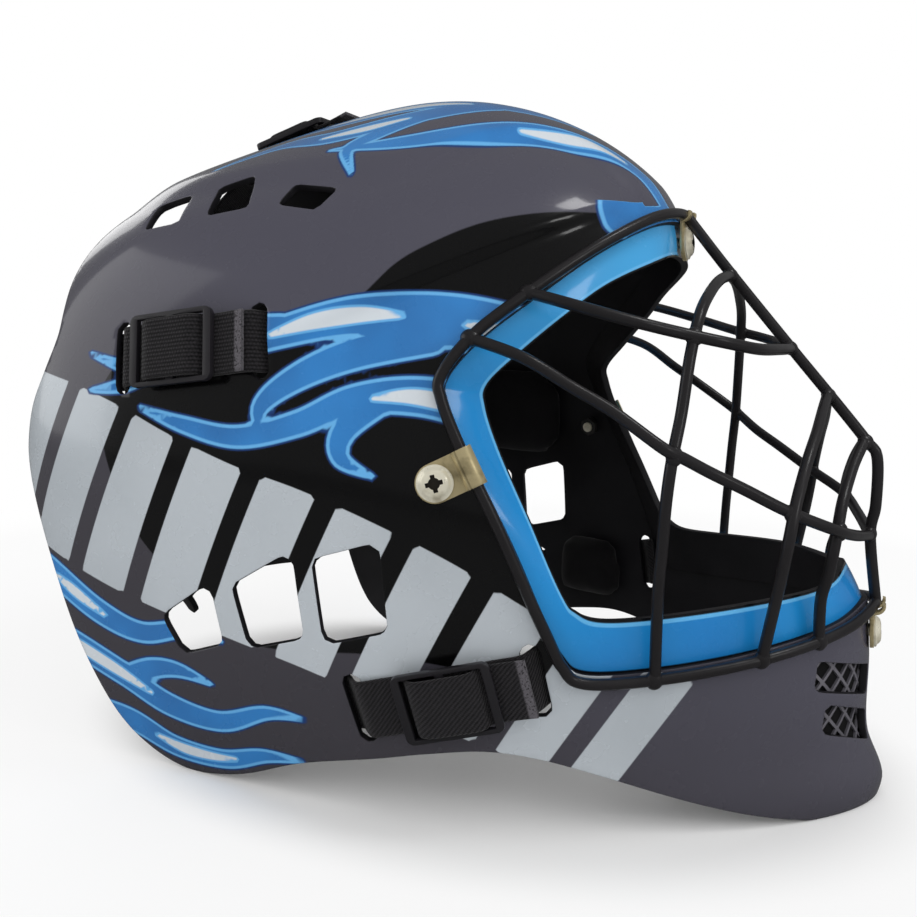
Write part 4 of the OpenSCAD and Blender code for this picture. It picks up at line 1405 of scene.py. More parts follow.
    def build(self) -> None:
        """Makes the wall and the flange."""
        p = self.surface()
        obj = trimmed("shell_wall", p, self.cuts(p), Patterns().fields(p), wrap=True)
        with editing(obj):
            bpy.ops.mesh.normals_make_consistent(inside=False)
        dress(obj, self.finishes.paint, self.finishes.inside)
        modify(
            obj,
            "SOLIDIFY",
            thickness=self.wall * MM,
            offset=-1,
            use_even_offset=True,
            material_offset=1,
            material_offset_rim=1,
        )
        round_edges(obj, 0.55, 2)
        soften(obj, 50)
        finish_piece(obj, HELMET, ["shell"])
        self.flange()

    def flange(self) -> None:
        """Makes the recessed band round the face."""
        v = np.linspace(0, 1, 181)
        p, n, d = RIM.rows(v)
        lip = RIM.lip(p, d)
        inward = unit(np.cross(np.gradient(p, axis=0), lip - p))
        inward[0], inward[-1] = (unit(np.cross([1.0, 0, 0], way)) for way in (d[0], -d[-1]))
        a = p - RIM.step * n
        ring = [a * (1 - k) + lip * k - inward * 0.5 * math.sin(math.pi * k) for k in np.linspace(0, 1, 9)]
        ring += [lip * (1 - k) + a * k + self.wall * inward for k in np.linspace(0, 1, 5)]
        rows = np.stack([*ring, ring[0]], 1)
        rows[[0, -1], :, 0] = 0
        loop = around(rows)
        loop = np.concatenate([loop, loop[:1]])
        obj = lattice("face_flange", loop)
        across = np.concatenate([np.linspace(0, 1, 9), np.full(5, 2.0), [0.0]])
        values = np.tile(across, len(loop)).astype(np.float32)
        obj.data.attributes.new("across", "FLOAT", "POINT").data.foreach_set("value", values)
        tidy_mesh(obj, 1e-5)
        round_edges(obj, 0.6, 3)
        soften(obj, 45)
        dress(obj, self.finishes.flange, self.finishes.inside)
        for face in obj.data.polygons:
            values = [obj.data.attributes["across"].data[i].value for i in face.vertices]
            face.material_index = int(max(values) > 1.5)
        finish_piece(obj, HELMET)


class Patterns:
    """Outlines of the shell and its painted pattern, seen from the side in millimetres."""

    far = 50.0
    crown_z = 229.0
    rear_edge = np.array([
        [0.78, 1.1], [0.795, 0.95], [0.83, 0.9], [0.88, 0.855], [0.915, 0.81], [0.922, 0.77], [0.918, 0.72],
        [0.905, 0.67], [0.905, 0.635], [0.94, 0.585], [0.985, 0.535], [1, 0.485], [0.985, 0.44], [0.92, 0.35],
        [0.88, 0.29], [0.81, 0.172], [0.74, 0.085], [0.66, 0.022], [0.58, -0.05],
    ])
    lower_rear = np.array([[0.62, 0], [0.5, 0], [0.37, 4.6], [0.2, 16], [0, 24]])
    lower_front = np.array([[-0.1, 28], [-0.22, 31], [-0.33, 29], [-0.45, 23], [-0.6, 14], [-0.74, 6], [-0.86, 0]])

    def fields(self, p: Array) -> dict[str, Array]:
        """Distances to the painted areas at each point.

        Args:
            p: Points of the surface.

        Returns:
            Signed distances by the name of the painted area.
        """
        x, y, z = np.abs(p[..., 0]), p[..., 1], p[..., 2]
        ink = outline_distance(even(self.ink, 3.0), y, z)
        bars = np.full(x.shape, self.far)
        for start, width in self.bars:
            across = np.linspace(start, start + width, 9)
            outline = np.vstack([along(self.band_top, across), along(self.band_low, across)[::-1]])
            bars = np.minimum(bars, outline_distance(outline, y, z))
        patch = outline_distance(even(self.brow_patch, 2.0), y, z)
        crown = z > self.crown_z
        side = np.minimum(self.nearest(self.flames, y, z), patch)
        tongue = np.where(crown, self.nearest(self.crest_flames, y, x), side)
        core = np.where(crown, self.nearest(self.crest_cores, y, x), self.nearest(self.cores, y, z))
        return {"ink": ink, "bars": bars, "tongue": np.minimum(tongue, self.far), "core": np.minimum(core, self.far)}

    def nearest(self, strokes: Sequence[Any], a: Array, b: Array) -> Array:
        """Distance to the nearest of several strokes."""
        return np.minimum.reduce([stroke_distance(np.array(stroke, float), a, b) for stroke in strokes])

    ink = np.array([
        [120, 152], [112, 164], [100, 173], [80, 180], [56, 181.5], [33, 182], [15, 189], [2, 203], [-8, 210],
        [-24, 218], [-42, 222.5], [-62, 224], [-84, 226], [-110, 180], [-130, 110], [-122, 72], [-92, 68],
        [-72, 65], [-56, 62], [-40, 62], [-16, 65], [5, 66], [30, 64], [53, 65], [70, 76],
        [88, 91], [102, 106], [112, 125], [118, 142], [120, 152],
    ])
    band_top = np.array([
        [158, 160], [133, 156], [108, 149], [84, 140], [56, 131], [28, 124], [0, 114], [-28, 101], [-56, 84],
        [-84, 68], [-112, 58],
    ])
    band_low = np.array([
        [186, 100], [161, 93], [136, 85], [110, 77], [82, 70], [54, 64], [26, 57], [-2, 47], [-30, 36], [-58, 25],
        [-86, 16],
    ])
    bars = (
        (0.0, 0.085), (0.115, 0.085), (0.23, 0.08), (0.34, 0.078), (0.447, 0.076), (0.552, 0.072), (0.652, 0.068),
        (0.748, 0.064), (0.838, 0.058), (0.92, 0.05),
    )
    flames = [
        [
            [-80, 164, 8], [-52, 175, 10], [-20, 184, 9], [12, 185, 7], [42, 178, 5.5], [68, 169, 4.4], [98, 163, 3],
            [126, 168, 0.7],
        ],
        [[-14, 178, 6], [12, 172, 6], [32, 163, 5], [45, 152, 3.4], [43, 141, 0.7]],
        [[40, 180, 5], [62, 178, 5], [84, 170, 4], [104, 158, 3], [124, 154, 0.7]],
        [
            [-60, 146, 5], [-40, 152, 7], [-14, 158, 6.6], [10, 156, 5.4], [30, 147, 4.6], [54, 141, 4], [78, 144, 3],
            [98, 149, 0.8],
        ],
        [[-2, 158, 5], [12, 146, 4.6], [13, 136, 3.2], [1, 130, 0.7]],
        [[-72, 156, 6], [-56, 150, 6.5], [-48, 141, 4.6], [-37, 134, 3], [-21, 134, 0.7]],
        [[176, 88, 5], [148, 79, 6.4], [120, 66, 5.6], [100, 61, 4.4], [80, 65, 3.2], [62, 63, 0.8]],
        [[174, 55, 5], [142, 50, 6.4], [114, 41, 6.2], [92, 31, 5.6], [68, 28, 4.4], [46, 36, 2.8], [30, 36, 0.8]],
        [[110, 40, 5], [97, 46, 4.4], [84, 47.5, 3.2], [69, 44, 0.8]],
        [[142, 22, 4.4], [114, 19, 6], [93, 11, 5.4], [70, 10, 4.4], [50, 16, 3], [33, 17, 0.8]],
    ]
    cores = [
        [[-76, 165, 1.6], [-60, 172, 4], [-40, 179, 3.4], [-24, 183, 0.9]],
        [[-2, 185.4, 0.9], [12, 185.4, 2.8], [28, 182.6, 2.8], [44, 177.4, 0.9]],
        [[-40, 152, 0.9], [-26, 155.4, 2.8], [-10, 158, 2.6], [3, 157, 0.9]],
        [[152, 52.6, 0.9], [136, 48.6, 2.8], [116, 41.8, 2.6], [100, 34.8, 0.9]],
        [[102, 14.6, 0.9], [90, 10.8, 2.4], [76, 10, 2], [64, 11.2, 0.9]],
        [[146, 78, 0.9], [134, 72.6, 2.4], [118, 65.2, 0.9]],
    ]
    brow_patch = np.array([
        [-58, 229], [-66, 233], [-78, 230], [-92, 222], [-92, 210], [-74, 213], [-62, 218], [-58, 229],
    ])
    crest_flames = [
        [[-40, 8, 4], [-10, 18, 6.6], [22, 26, 7], [54, 36, 6.4], [80, 37, 4.4], [104, 47, 0.7]],
        [[-6, 22, 6], [20, 42, 7], [48, 55, 6], [74, 54, 4], [100, 64, 0.7]],
        [[12, 38, 4.4], [28, 56, 4.6], [36, 67, 3], [29, 77, 0.7]],
        [[-84, 12, 3], [-60, 20, 5], [-30, 36, 5.6], [0, 56, 5], [20, 64, 3.6], [44, 67, 0.7]],
    ]
    crest_cores = [
        [[4, 22.4, 0.9], [22, 26, 3], [44, 33, 3], [60, 37, 0.9]],
        [[22, 43.6, 0.9], [36, 51, 2.6], [54, 55.6, 0.9]],
        [[-60, 20, 0.9], [-44, 27.6, 2.6], [-24, 39.6, 0.9]],
    ]


# --- Cage ---
@dataclass
class Cage:
    """Welded wire cage in front of the face."""

    finishes: Finishes
    wire_d: float = 4.2
    bead_half: tuple = (3.6, 3.3, 2.55)
    reach: float = 160.0
    centre: tuple = (
        (0, -0.618, 0.756), (0, -0.7825, 0.644), (0, -0.8756, 0.5817), (0, -0.967, 0.519), (0, -0.995, 0.495),
        (0, -1.0006, 0.428), (0, -0.994, 0.383),
    )
    outer: tuple = (
        (0.2, -0.622, 0.738), (0.356, -0.618, 0.719), (0.49, -0.614, 0.69), (0.57, -0.608, 0.638),
        (0.627, -0.603, 0.567), (0.686, -0.597, 0.514), (0.703, -0.591, 0.459), (0.7, -0.5875, 0.4),
        (0.7, -0.584, 0.338),
    )
    middle: tuple = (
        (0.12, -0.868, 0.563), (0.25, -0.862, 0.536), (0.365, -0.851, 0.504), (0.46, -0.839, 0.458),
        (0.508, -0.831, 0.411), (0.508, -0.819, 0.356),
    )
    inner: tuple = (
        (0.12, -0.944, 0.488), (0.254, -0.929, 0.448), (0.33, -0.922, 0.404), (0.347, -0.9125, 0.356),
        (0.339, -0.9, 0.319),
    )
    brow: tuple = (
        (0.703, -0.381, 0.697), (0.661, -0.5, 0.679), (0.576, -0.588, 0.666), (0.508, -0.675, 0.655),
        (0.398, -0.735, 0.647), (0.2, -0.768, 0.645),
    )
    cheek: tuple = (
        (0.8136, -0.292, 0.633), (0.763, -0.394, 0.597), (0.729, -0.475, 0.569), (0.72, -0.581, 0.528),
        (0.67, -0.619, 0.514), (0.61, -0.669, 0.495), (0.551, -0.7375, 0.473), (0.475, -0.825, 0.444),
        (0.364, -0.919, 0.417), (0.2, -0.962, 0.398),
    )

    def place(self, rows: Sequence[Sequence[float]]) -> Array:
        """Turns fractions into millimetres."""
        return np.array(rows, float) * [FORM.half_w, self.reach, FORM.dome]

    def paths(self) -> dict[str, tuple[Array, tuple[float, float, float]]]:
        """Middle lines of the left wires and the centre bar.

        Returns:
            Points of each wire's middle line and its reference direction, by name.
        """
        weld = 0.35 * self.wire_d / FORM.half_w
        ends = {
            "upright_outer": ((weld, -0.625, 0.747), self.outer, 0.8),
            "upright_middle": ((weld, -0.872, 0.58), self.middle, 0.868),
            "upright_inner": ((weld, -0.963, 0.517), self.inner, 0.91),
        }
        paths = {}
        for name, (first, rest, foot) in ends.items():
            paths[name] = (np.vstack([self.place([first, *rest]), RIM.wire(foot)]), (0, 1, 0))
        for name, foot, rest, last in (
            ("brow_bar", 0.205, self.brow, (weld, -0.78, 0.644)),
            ("cheek_bar", 0.275, self.cheek, (weld, -0.992, 0.384)),
        ):
            paths[name] = (np.vstack([RIM.wire(foot), self.place([*rest, last])]), (0, 0, 1))
        centre = np.vstack([RIM.wire(0.0), self.place(self.centre), RIM.wire(1.0)])
        paths["centre_bar"] = (centre, (1, 0, 0))
        return {name: (even(points, 1.6), ref) for name, (points, ref) in paths.items()}

    def build(self) -> None:
        """Makes the rim wire, the bars and the weld beads."""
        v = np.linspace(0, 1, 260)
        half = RIM.wire(v)
        half[[0, -1], 0] = 0
        obj = self.bar("cage_rim", around(half), around(RIM.rows(v)[1]), True)
        self.finish(obj, "cage_rim_wire")
        paths = self.paths()
        for name, (points, ref) in paths.items():
            out = np.tile(np.array(ref, float), (len(points), 1))
            if name == "centre_bar":
                self.finish(self.bar("cage_centre", points, out), "cage_centre_bar")
                continue
            obj = self.bar(f"cage_{name}_l", points, out)
            twin = mirror_x(obj, f"cage_{name}_r")
            self.finish(obj, f"cage_{name}_left")
            self.finish(twin, f"cage_{name}_right")
        self.welds(paths, half)

    def bar(self, name: str, path: Array, out: Array, closed: bool = False) -> Piece:
        """Sweeps one wire.

        Args:
            name: The piece's name.
            path: Points of its middle line.
            out: Reference direction at each point.
            closed: Whether the wire ends where it starts.

        Returns:
            The wire.
        """
        obj = sweep(name, path, out, round_profile(self.wire_d / 2), closed)
        soften(obj, 60)
        return obj

    def finish(self, obj: Piece, *nodes: str) -> None:
        """Finishes a part of the cage in its coating."""
        finish_piece(obj, HELMET, nodes, [self.finishes.wire])

    def welds(self, paths: dict, rim: Array) -> None:
        """Makes a smooth bead of weld at every meeting of two wires.

        Args:
            paths: Middle lines by name.
            rim: Middle line of the rim wire's left half.
        """
        lines = {name: points for name, (points, _) in paths.items()}
        lines["rim"] = rim
        meets = [("upright_outer", "brow_bar"), ("upright_outer", "cheek_bar"), ("upright_middle", "cheek_bar")]
        meets += [("upright_inner", "cheek_bar")]
        half_bars = [name for name in lines if name not in ("rim", "centre_bar")]
        meets += [(name, end) for end in ("rim", "centre_bar") for name in half_bars]
        beads = []
        for a, b in meets:
            gap = np.linalg.norm(lines[a][:, None] - lines[b][None], axis=2)
            i, j = np.unravel_index(gap.argmin(), gap.shape)
            ta, tb = (unit(np.gradient(lines[k], axis=0))[m] for k, m in ((a, i), (b, j)))
            centre = (lines[a][i] + lines[b][j]) / 2
            beads += [self.bead(*(part * [side.value, 1, 1] for part in (centre, ta, tb))) for side in Side]
        obj = join("cage_welds", beads)
        soften(obj, 80)
        self.finish(obj)

    def bead(self, centre: Array, ta: Array, tb: Array) -> Piece:
        """Makes one bead, a little longer along the first wire.

        Args:
            centre: Where the wires meet.
            ta: Direction of the first wire.
            tb: Direction of the second.

        Returns:
            The bead.
        """
        deselect()
        bpy.ops.mesh.primitive_uv_sphere_add(segments=20, ring_count=12, radius=1)
        obj = bpy.context.object
        co = np.zeros(len(obj.data.vertices) * 3)
        obj.data.vertices.foreach_get("co", co)
        co = co.reshape(-1, 3)
        n = unit(np.cross(ta, tb) + 1e-6)
        side = unit(np.cross(n, ta))
        shape = co * self.bead_half
        placed = centre + shape[:, :1] * ta + shape[:, 1:2] * side + shape[:, 2:] * n
        obj.data.vertices.foreach_set("co", (placed * MM).reshape(-1).astype(np.float32))
        obj.data.update()
        tidy_mesh(obj)
        return obj


# --- Webbing and adjusters ---
class Webs:
    """Runs of webbing: slots beside the head and on the crown, and where each adjuster lies."""

    upper = np.array([[108.5, 167.0], [48.3, 175.5]])
    lower = np.array([[7.0, 44.0], [-55.0, 60.0]])
    top = (122.0, 72.0)
    upper_at = 27.0
    lower_at = 34.0
    top_at = 26.0


@dataclass
class BackForm:
    """Outer surface of the back plate, by angle from the back and height."""

    half_w: float = 84.0
    reach: float = 170.4
    z0: float = 48.0
    z1: float = 212.0
    thick: float = 2.5
    rear: float = 0.66
    slots: tuple = ((59, 164), (59, 80))
    top_slot: float = 201.0
    table: Array = rows_of(
        [0.66, 0.872, 0], [0.85, 0.927, 0.15], [0.975, 0.985, 0.4], [1, 1, 0.6], [0.93, 0.987, 0.8],
        [0.76, 0.955, 0.93], [0.58, 0.922, 1],
    )

    def surface(self, a: Any, z: Any) -> Array:
        """Point of the outer face.

        Args:
            a: Angles from the back, in degrees.
            z: Heights.

        Returns:
            The points.
        """
        a, z = together(a, z)
        v = np.linspace(0, 1, 2001)
        rows = along(self.table, v)
        r = along(self.table, np.interp((z - self.z0) / (self.z1 - self.z0), rows[:, 2], v))
        c = self.rear * self.reach
        s, k = np.sin(np.radians(a)), np.cos(np.radians(a))
        return np.stack([r[..., 0] * self.half_w * s, c + (r[..., 1] * self.reach - c) * k, z], -1)

    def normal(self, a: Any, z: Any) -> Array:
        """Outward normal.

        Args:
            a: Angles from the back, in degrees.
            z: Heights.

        Returns:
            Normals of length one.
        """
        a, z = together(a, z)
        zz = np.clip(z, self.z0 + 2, self.z1 - 2)
        up = self.surface(a, zz + 2) - self.surface(a, zz - 2)
        return unit(np.cross(up, self.surface(a + 2, zz) - self.surface(a - 2, zz)))

    def point(self, a: Any, z: Any, out: Any = 0.0) -> Array:
        """Point at a distance outside the outer face."""
        return self.surface(a, z) + np.asarray(out)[..., None] * self.normal(a, z)

    def row(self, a: float, z: float, out: float) -> list[float]:
        """Point outside the outer face, followed by the normal."""
        return [*self.point(a, z, out), *self.normal(a, z)]


PLATE = BackForm()


@dataclass
class Harness:
    """Webbing, adjuster frames and free ends."""

    finishes: Finishes
    width: float = 23.0
    thick: float = 1.5
    gap: float = 0.3
    wall: float = 3.0
    slack: float = 1.7
    through: float = 3.4
    frame_l: float = 36.0
    frame_t: float = 2.4
    bar: float = 3.2
    tail_l: float = 12.0
    lower_way: tuple = ((98, 49.1), (75, 42), (52, 38), (30, 38))
    bends: dict = field(
        default_factory=lambda: {
            "upper": ((60, 150, 158), (98, 112, 163)),
            "lower": ((60, 150, 78), (96, 100, 50)),
            "top": ((0, 150, 212), (0, 128, 252)),
        }
    )

    @property
    def up(self) -> float:
        """Height of the webbing's middle over what it lies on."""
        return self.gap + self.thick / 2

    @property
    def inside(self) -> float:
        """Depth of the webbing's middle inside the shell."""
        return self.wall + self.up + self.slack

    @property
    def under(self) -> float:
        """Place of the webbing's middle inside the back plate."""
        return -PLATE.thick - self.up - self.slack

    def cheek_rows(self, run: Array, slot: tuple[float, float], between: Sequence[Any]) -> Array:
        """Points and outward directions of a side run, from inside the plate to inside the cheek.

        Args:
            run: The two slots in the cheek.
            slot: Angle and height of the slot in the back plate.
            between: Places that the band passes over on its way.

        Returns:
            One row of six numbers for each point.
        """
        d, n = unit(run[1] - run[0]), np.linalg.norm(run[1] - run[0])
        a, z = slot
        up, t = self.up, self.through
        plate = (
            (a - 10, self.under), (a - 4, self.under - 0.3), (a + 0.4, -PLATE.thick / 2), (a + 4, up + 0.6),
            (a + 10, up + 0.4), (a + 16, up + 0.2),
        )
        rows = [PLATE.row(q, z, out) for q, out in plate]
        rows += [FORM.cheek_row(y, height, self.wall + 2 * up) for y, height in between]
        steps = [(-t - 4, self.inside), (-t, self.inside), (0, self.wall / 2)]
        steps += [(t + (n - 2 * t) * i / 7, -up - rise) for i, rise in enumerate((0.3, 0, 0, 0, 0, 0, 0, 0.3))]
        steps += [(n, self.wall / 2), (n + t, self.inside), (n + t + 3, self.inside)]
        rows += [FORM.cheek_row(*(run[0] + s * d), depth) for s, depth in steps]
        return np.array(rows)

    def top_rows(self) -> Array:
        """Points and outward directions of the run over the crown.

        Returns:
            One row of six numbers for each point.
        """
        slot, t, up = PLATE.top_slot, self.through, self.up
        plate = ((190, self.under), (slot - t, self.under), (slot, -PLATE.thick / 2), (slot + 3.4, up + 0.5))
        rows = [PLATE.row(0, z, out) for z, out in plate]
        rows.append([*(PLATE.point(0, PLATE.z1, up + 1) + [0, 0, 3]), *PLATE.normal(0, PLATE.z1)])
        a, b = Webs.top
        crown = (
            (a + t + 5, self.inside), (a + t, self.inside), (a, self.wall / 2), (a - t, -up - 0.3), (a - 12, -up),
            (a - 20, -up), (a - 28, -up), (a - 36, -up), (b + 7, -up), (b + t, -up - 0.3), (b, self.wall / 2),
            (b - t, self.inside), (b - t - 6, self.inside),
        )
        rows += [[*FORM.top_point(y, depth), *FORM.top_normal(y)] for y, depth in crown]
        return np.array(rows)

    def strap(self, name: str, rows: Array) -> Piece:
        """Sweeps one webbing band."""
        rows = even(rows, 1.3)
        return sweep(name, rows[:, :3], unit(rows[:, 3:]), band_profile(self.width, self.thick))

    def frame_at(self, run: Optional[Array], at: float) -> tuple[Array, Array, Array]:
        """Place of an adjuster.

        Args:
            run: The two slots in the cheek, or None on the crown.
            at: Distance of the adjuster from the rear slot.

        Returns:
            Its place, forward direction and normal.
        """
        if run is None:
            y = Webs.top[0] - at
            n = FORM.top_normal(y)
            return FORM.top_point(y), unit(np.cross([1, 0, 0], n)), n
        d = unit(run[1] - run[0])
        p, n = FORM.cheek(*(run[0] + at * d)), FORM.cheek_normal(*(run[0] + at * d))
        v = FORM.cheek(*(run[0] + (at + 1) * d)) - p
        return p, laid(v, n), n

    def tail(self, name: str, place: tuple[Array, Array, Array]) -> Piece:
        """Free end looped over the middle bar of its adjuster.

        Args:
            name: The piece's name.
            place: Place of the adjuster.

        Returns:
            The free end.
        """
        p, t, n = place
        low = self.gap + self.thick + self.up
        lift = 3 * self.gap + 2 * self.thick
        high = lift + self.frame_t + self.up
        e = self.frame_l / 2 - self.bar
        f = e - self.thick - 2 * self.gap
        end = self.frame_l / 2
        rows = np.array(
            [
                [-f - 0.8, low], [-f, low + 1.2], [-f + 1, low + 3], [-f + 2.6, high - 0.6], [-f + 5, high],
                [0, high], [f - 5, high], [f - 2.6, high - 0.6], [f - 1, low + 3], [f, low + 1.2],
                [e + 0.3, low + 0.1], [e + 3, low], [end + self.tail_l / 2, low + 0.3], [end + self.tail_l, low + 0.8],
            ]
        )
        lean = np.array([0.9 * np.sign(r[0]) if low + 0.5 < r[1] < high - 0.7 else 0.0 for r in rows])
        path = p + rows[:, :1] * t + rows[:, 1:] * n
        out = lean[:, None] * t + n
        rows = even(np.hstack([path, out])[::-1], 0.9)
        return sweep(name, rows[:, :3], unit(rows[:, 3:]), band_profile(self.width - 0.4, self.thick))

    def build(self) -> None:
        """Makes every strap, adjuster and free end."""
        runs = {
            "upper": (Webs.upper, Webs.upper_at, PLATE.slots[0], (), self.finishes.ribbed),
            "lower": (Webs.lower, Webs.lower_at, PLATE.slots[1], self.lower_way, self.finishes.twill),
        }
        for key, (run, at, slot, between, finish) in runs.items():
            strap = self.strap(f"webbing_{key}_l", self.cheek_rows(run, slot, between))
            tail = self.tail(f"free_end_{key}_l", self.frame_at(run, at))
            self.hang(strap, key, finish, Side.LEFT)
            self.adjuster(tail, f"{key}_left", finish)
            self.hang(mirror_x(strap, f"webbing_{key}_r"), key, finish, Side.RIGHT)
            self.adjuster(mirror_x(tail, f"free_end_{key}_r"), f"{key}_right", finish)
        self.hang(self.strap("webbing_top", self.top_rows()), "top", self.finishes.ribbed)
        self.adjuster(self.tail("free_end_top", self.frame_at(None, Webs.top_at)), "top", self.finishes.ribbed)

    def adjuster(self, tail: Piece, place: str, finish: Any) -> None:
        """Finishes a free end and the adjuster frame that it is looped over.

        Args:
            tail: The free end.
            place: Where it is, as it ends the node's name.
            finish: The webbing's finish.
        """
        soften(tail, 50)
        finish_piece(tail, f"adjuster_{place}", [f"tail_{place}"], [finish])
        frame = cad_copy(f"buckle_{place}", f"adjuster_frame_{place}", 0.7, 3)
        finish_piece(frame, f"adjuster_{place}", [f"buckle_{place}"], [self.finishes.adjuster])

    def hang(self, obj: Piece, key: str, finish: Any, side: Optional[Side] = None) -> None:
        """Dresses a strap, hides the CAD strap that it replaces and bakes its place.

        Args:
            obj: The strap.
            key: Which run it is.
            finish: Its finish.
            side: Its side, or None on the crown.
        """
        node = f"strap_{key}_{side.word}" if side else f"strap_{key}"
        soften(obj, 50)
        dress(obj, finish)
        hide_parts(node)
        b, a = self.bends[key]
        k = (side.value if side else 1) * MM
        a[0] * k
        b[0] * k
        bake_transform(obj)
        LOG.info("%s: %d faces, bends for %s", obj.name, len(obj.data.polygons), node)


# --- Back plate, hardware, chin nets and pads ---
@dataclass
class BackPlate:
    """Sprung plate behind the head."""

    finishes: Finishes
    span: float = 80.0
    mean_r: float = 62.0
    corner: float = 9.0
    slot_half: float = 12.5
    vents_x: tuple = (-28, 0, 28)
    vent_r: float = 6.0

    def build(self) -> None:
        """Makes the plate with its vents and slots."""
        a = np.linspace(self.span, -self.span, 150)[None, :]
        z = np.linspace(PLATE.z0, PLATE.z1, 130)[:, None]
        p = PLATE.surface(a, z + 0 * a)
        side = (self.span - np.abs(a)) * math.radians(1) * self.mean_r + 0 * z
        edge = np.minimum(z - PLATE.z0, PLATE.z1 - z) + 0 * a
        corner = self.corner
        both = np.hypot(np.maximum(corner - side, 0), np.maximum(corner - edge, 0))
        keep = np.where((side < corner) & (edge < corner), corner - both, np.minimum(side, edge) + 0.001)
        left = np.concatenate([np.abs(p[..., :1]), p[..., 1:]], -1)
        for angle, height in PLATE.slots:
            n = PLATE.normal(angle, height)
            v = PLATE.surface(angle + 1, height) - PLATE.surface(angle - 1, height)
            hole = webbing_slot(PLATE.surface(angle, height), n, laid(v, n), self.slot_half)
            keep = np.minimum(keep, hole.distance(left))
        n = PLATE.normal(0, PLATE.top_slot)
        hole = webbing_slot(PLATE.surface(0, PLATE.top_slot), n, unit(np.cross([1, 0, 0], n)), self.slot_half)
        keep = np.minimum(keep, hole.distance(p))
        for x in self.vents_x:
            for z in (PLATE.z0 + 26, PLATE.z1 - 46):
                stem = np.array([[x, z - 5], [x + 0.01, z - 5], [x + 0.01, z + 5], [x, z + 5.0]])
                keep = np.minimum(keep, outline_distance(stem, p[..., 0], p[..., 2]) - self.vent_r)
        obj = trimmed("back_plate_shell", p, keep, {})
        tidy_mesh(obj)
        face_along_y(obj, 1)
        modify(obj, "SOLIDIFY", thickness=PLATE.thick * MM, offset=-1, use_even_offset=True)
        round_edges(obj, 0.6, 3)
        soften(obj, 50)
        finish_piece(obj, BACK, ["back_plate"], [self.finishes.plate])


@dataclass(frozen=True)
class Fixing:
    """Foot of a clip under its screw, the way that the screw points, and the wire in the clip's hook."""

    foot: tuple
    normal: tuple
    wire: Optional[tuple] = None


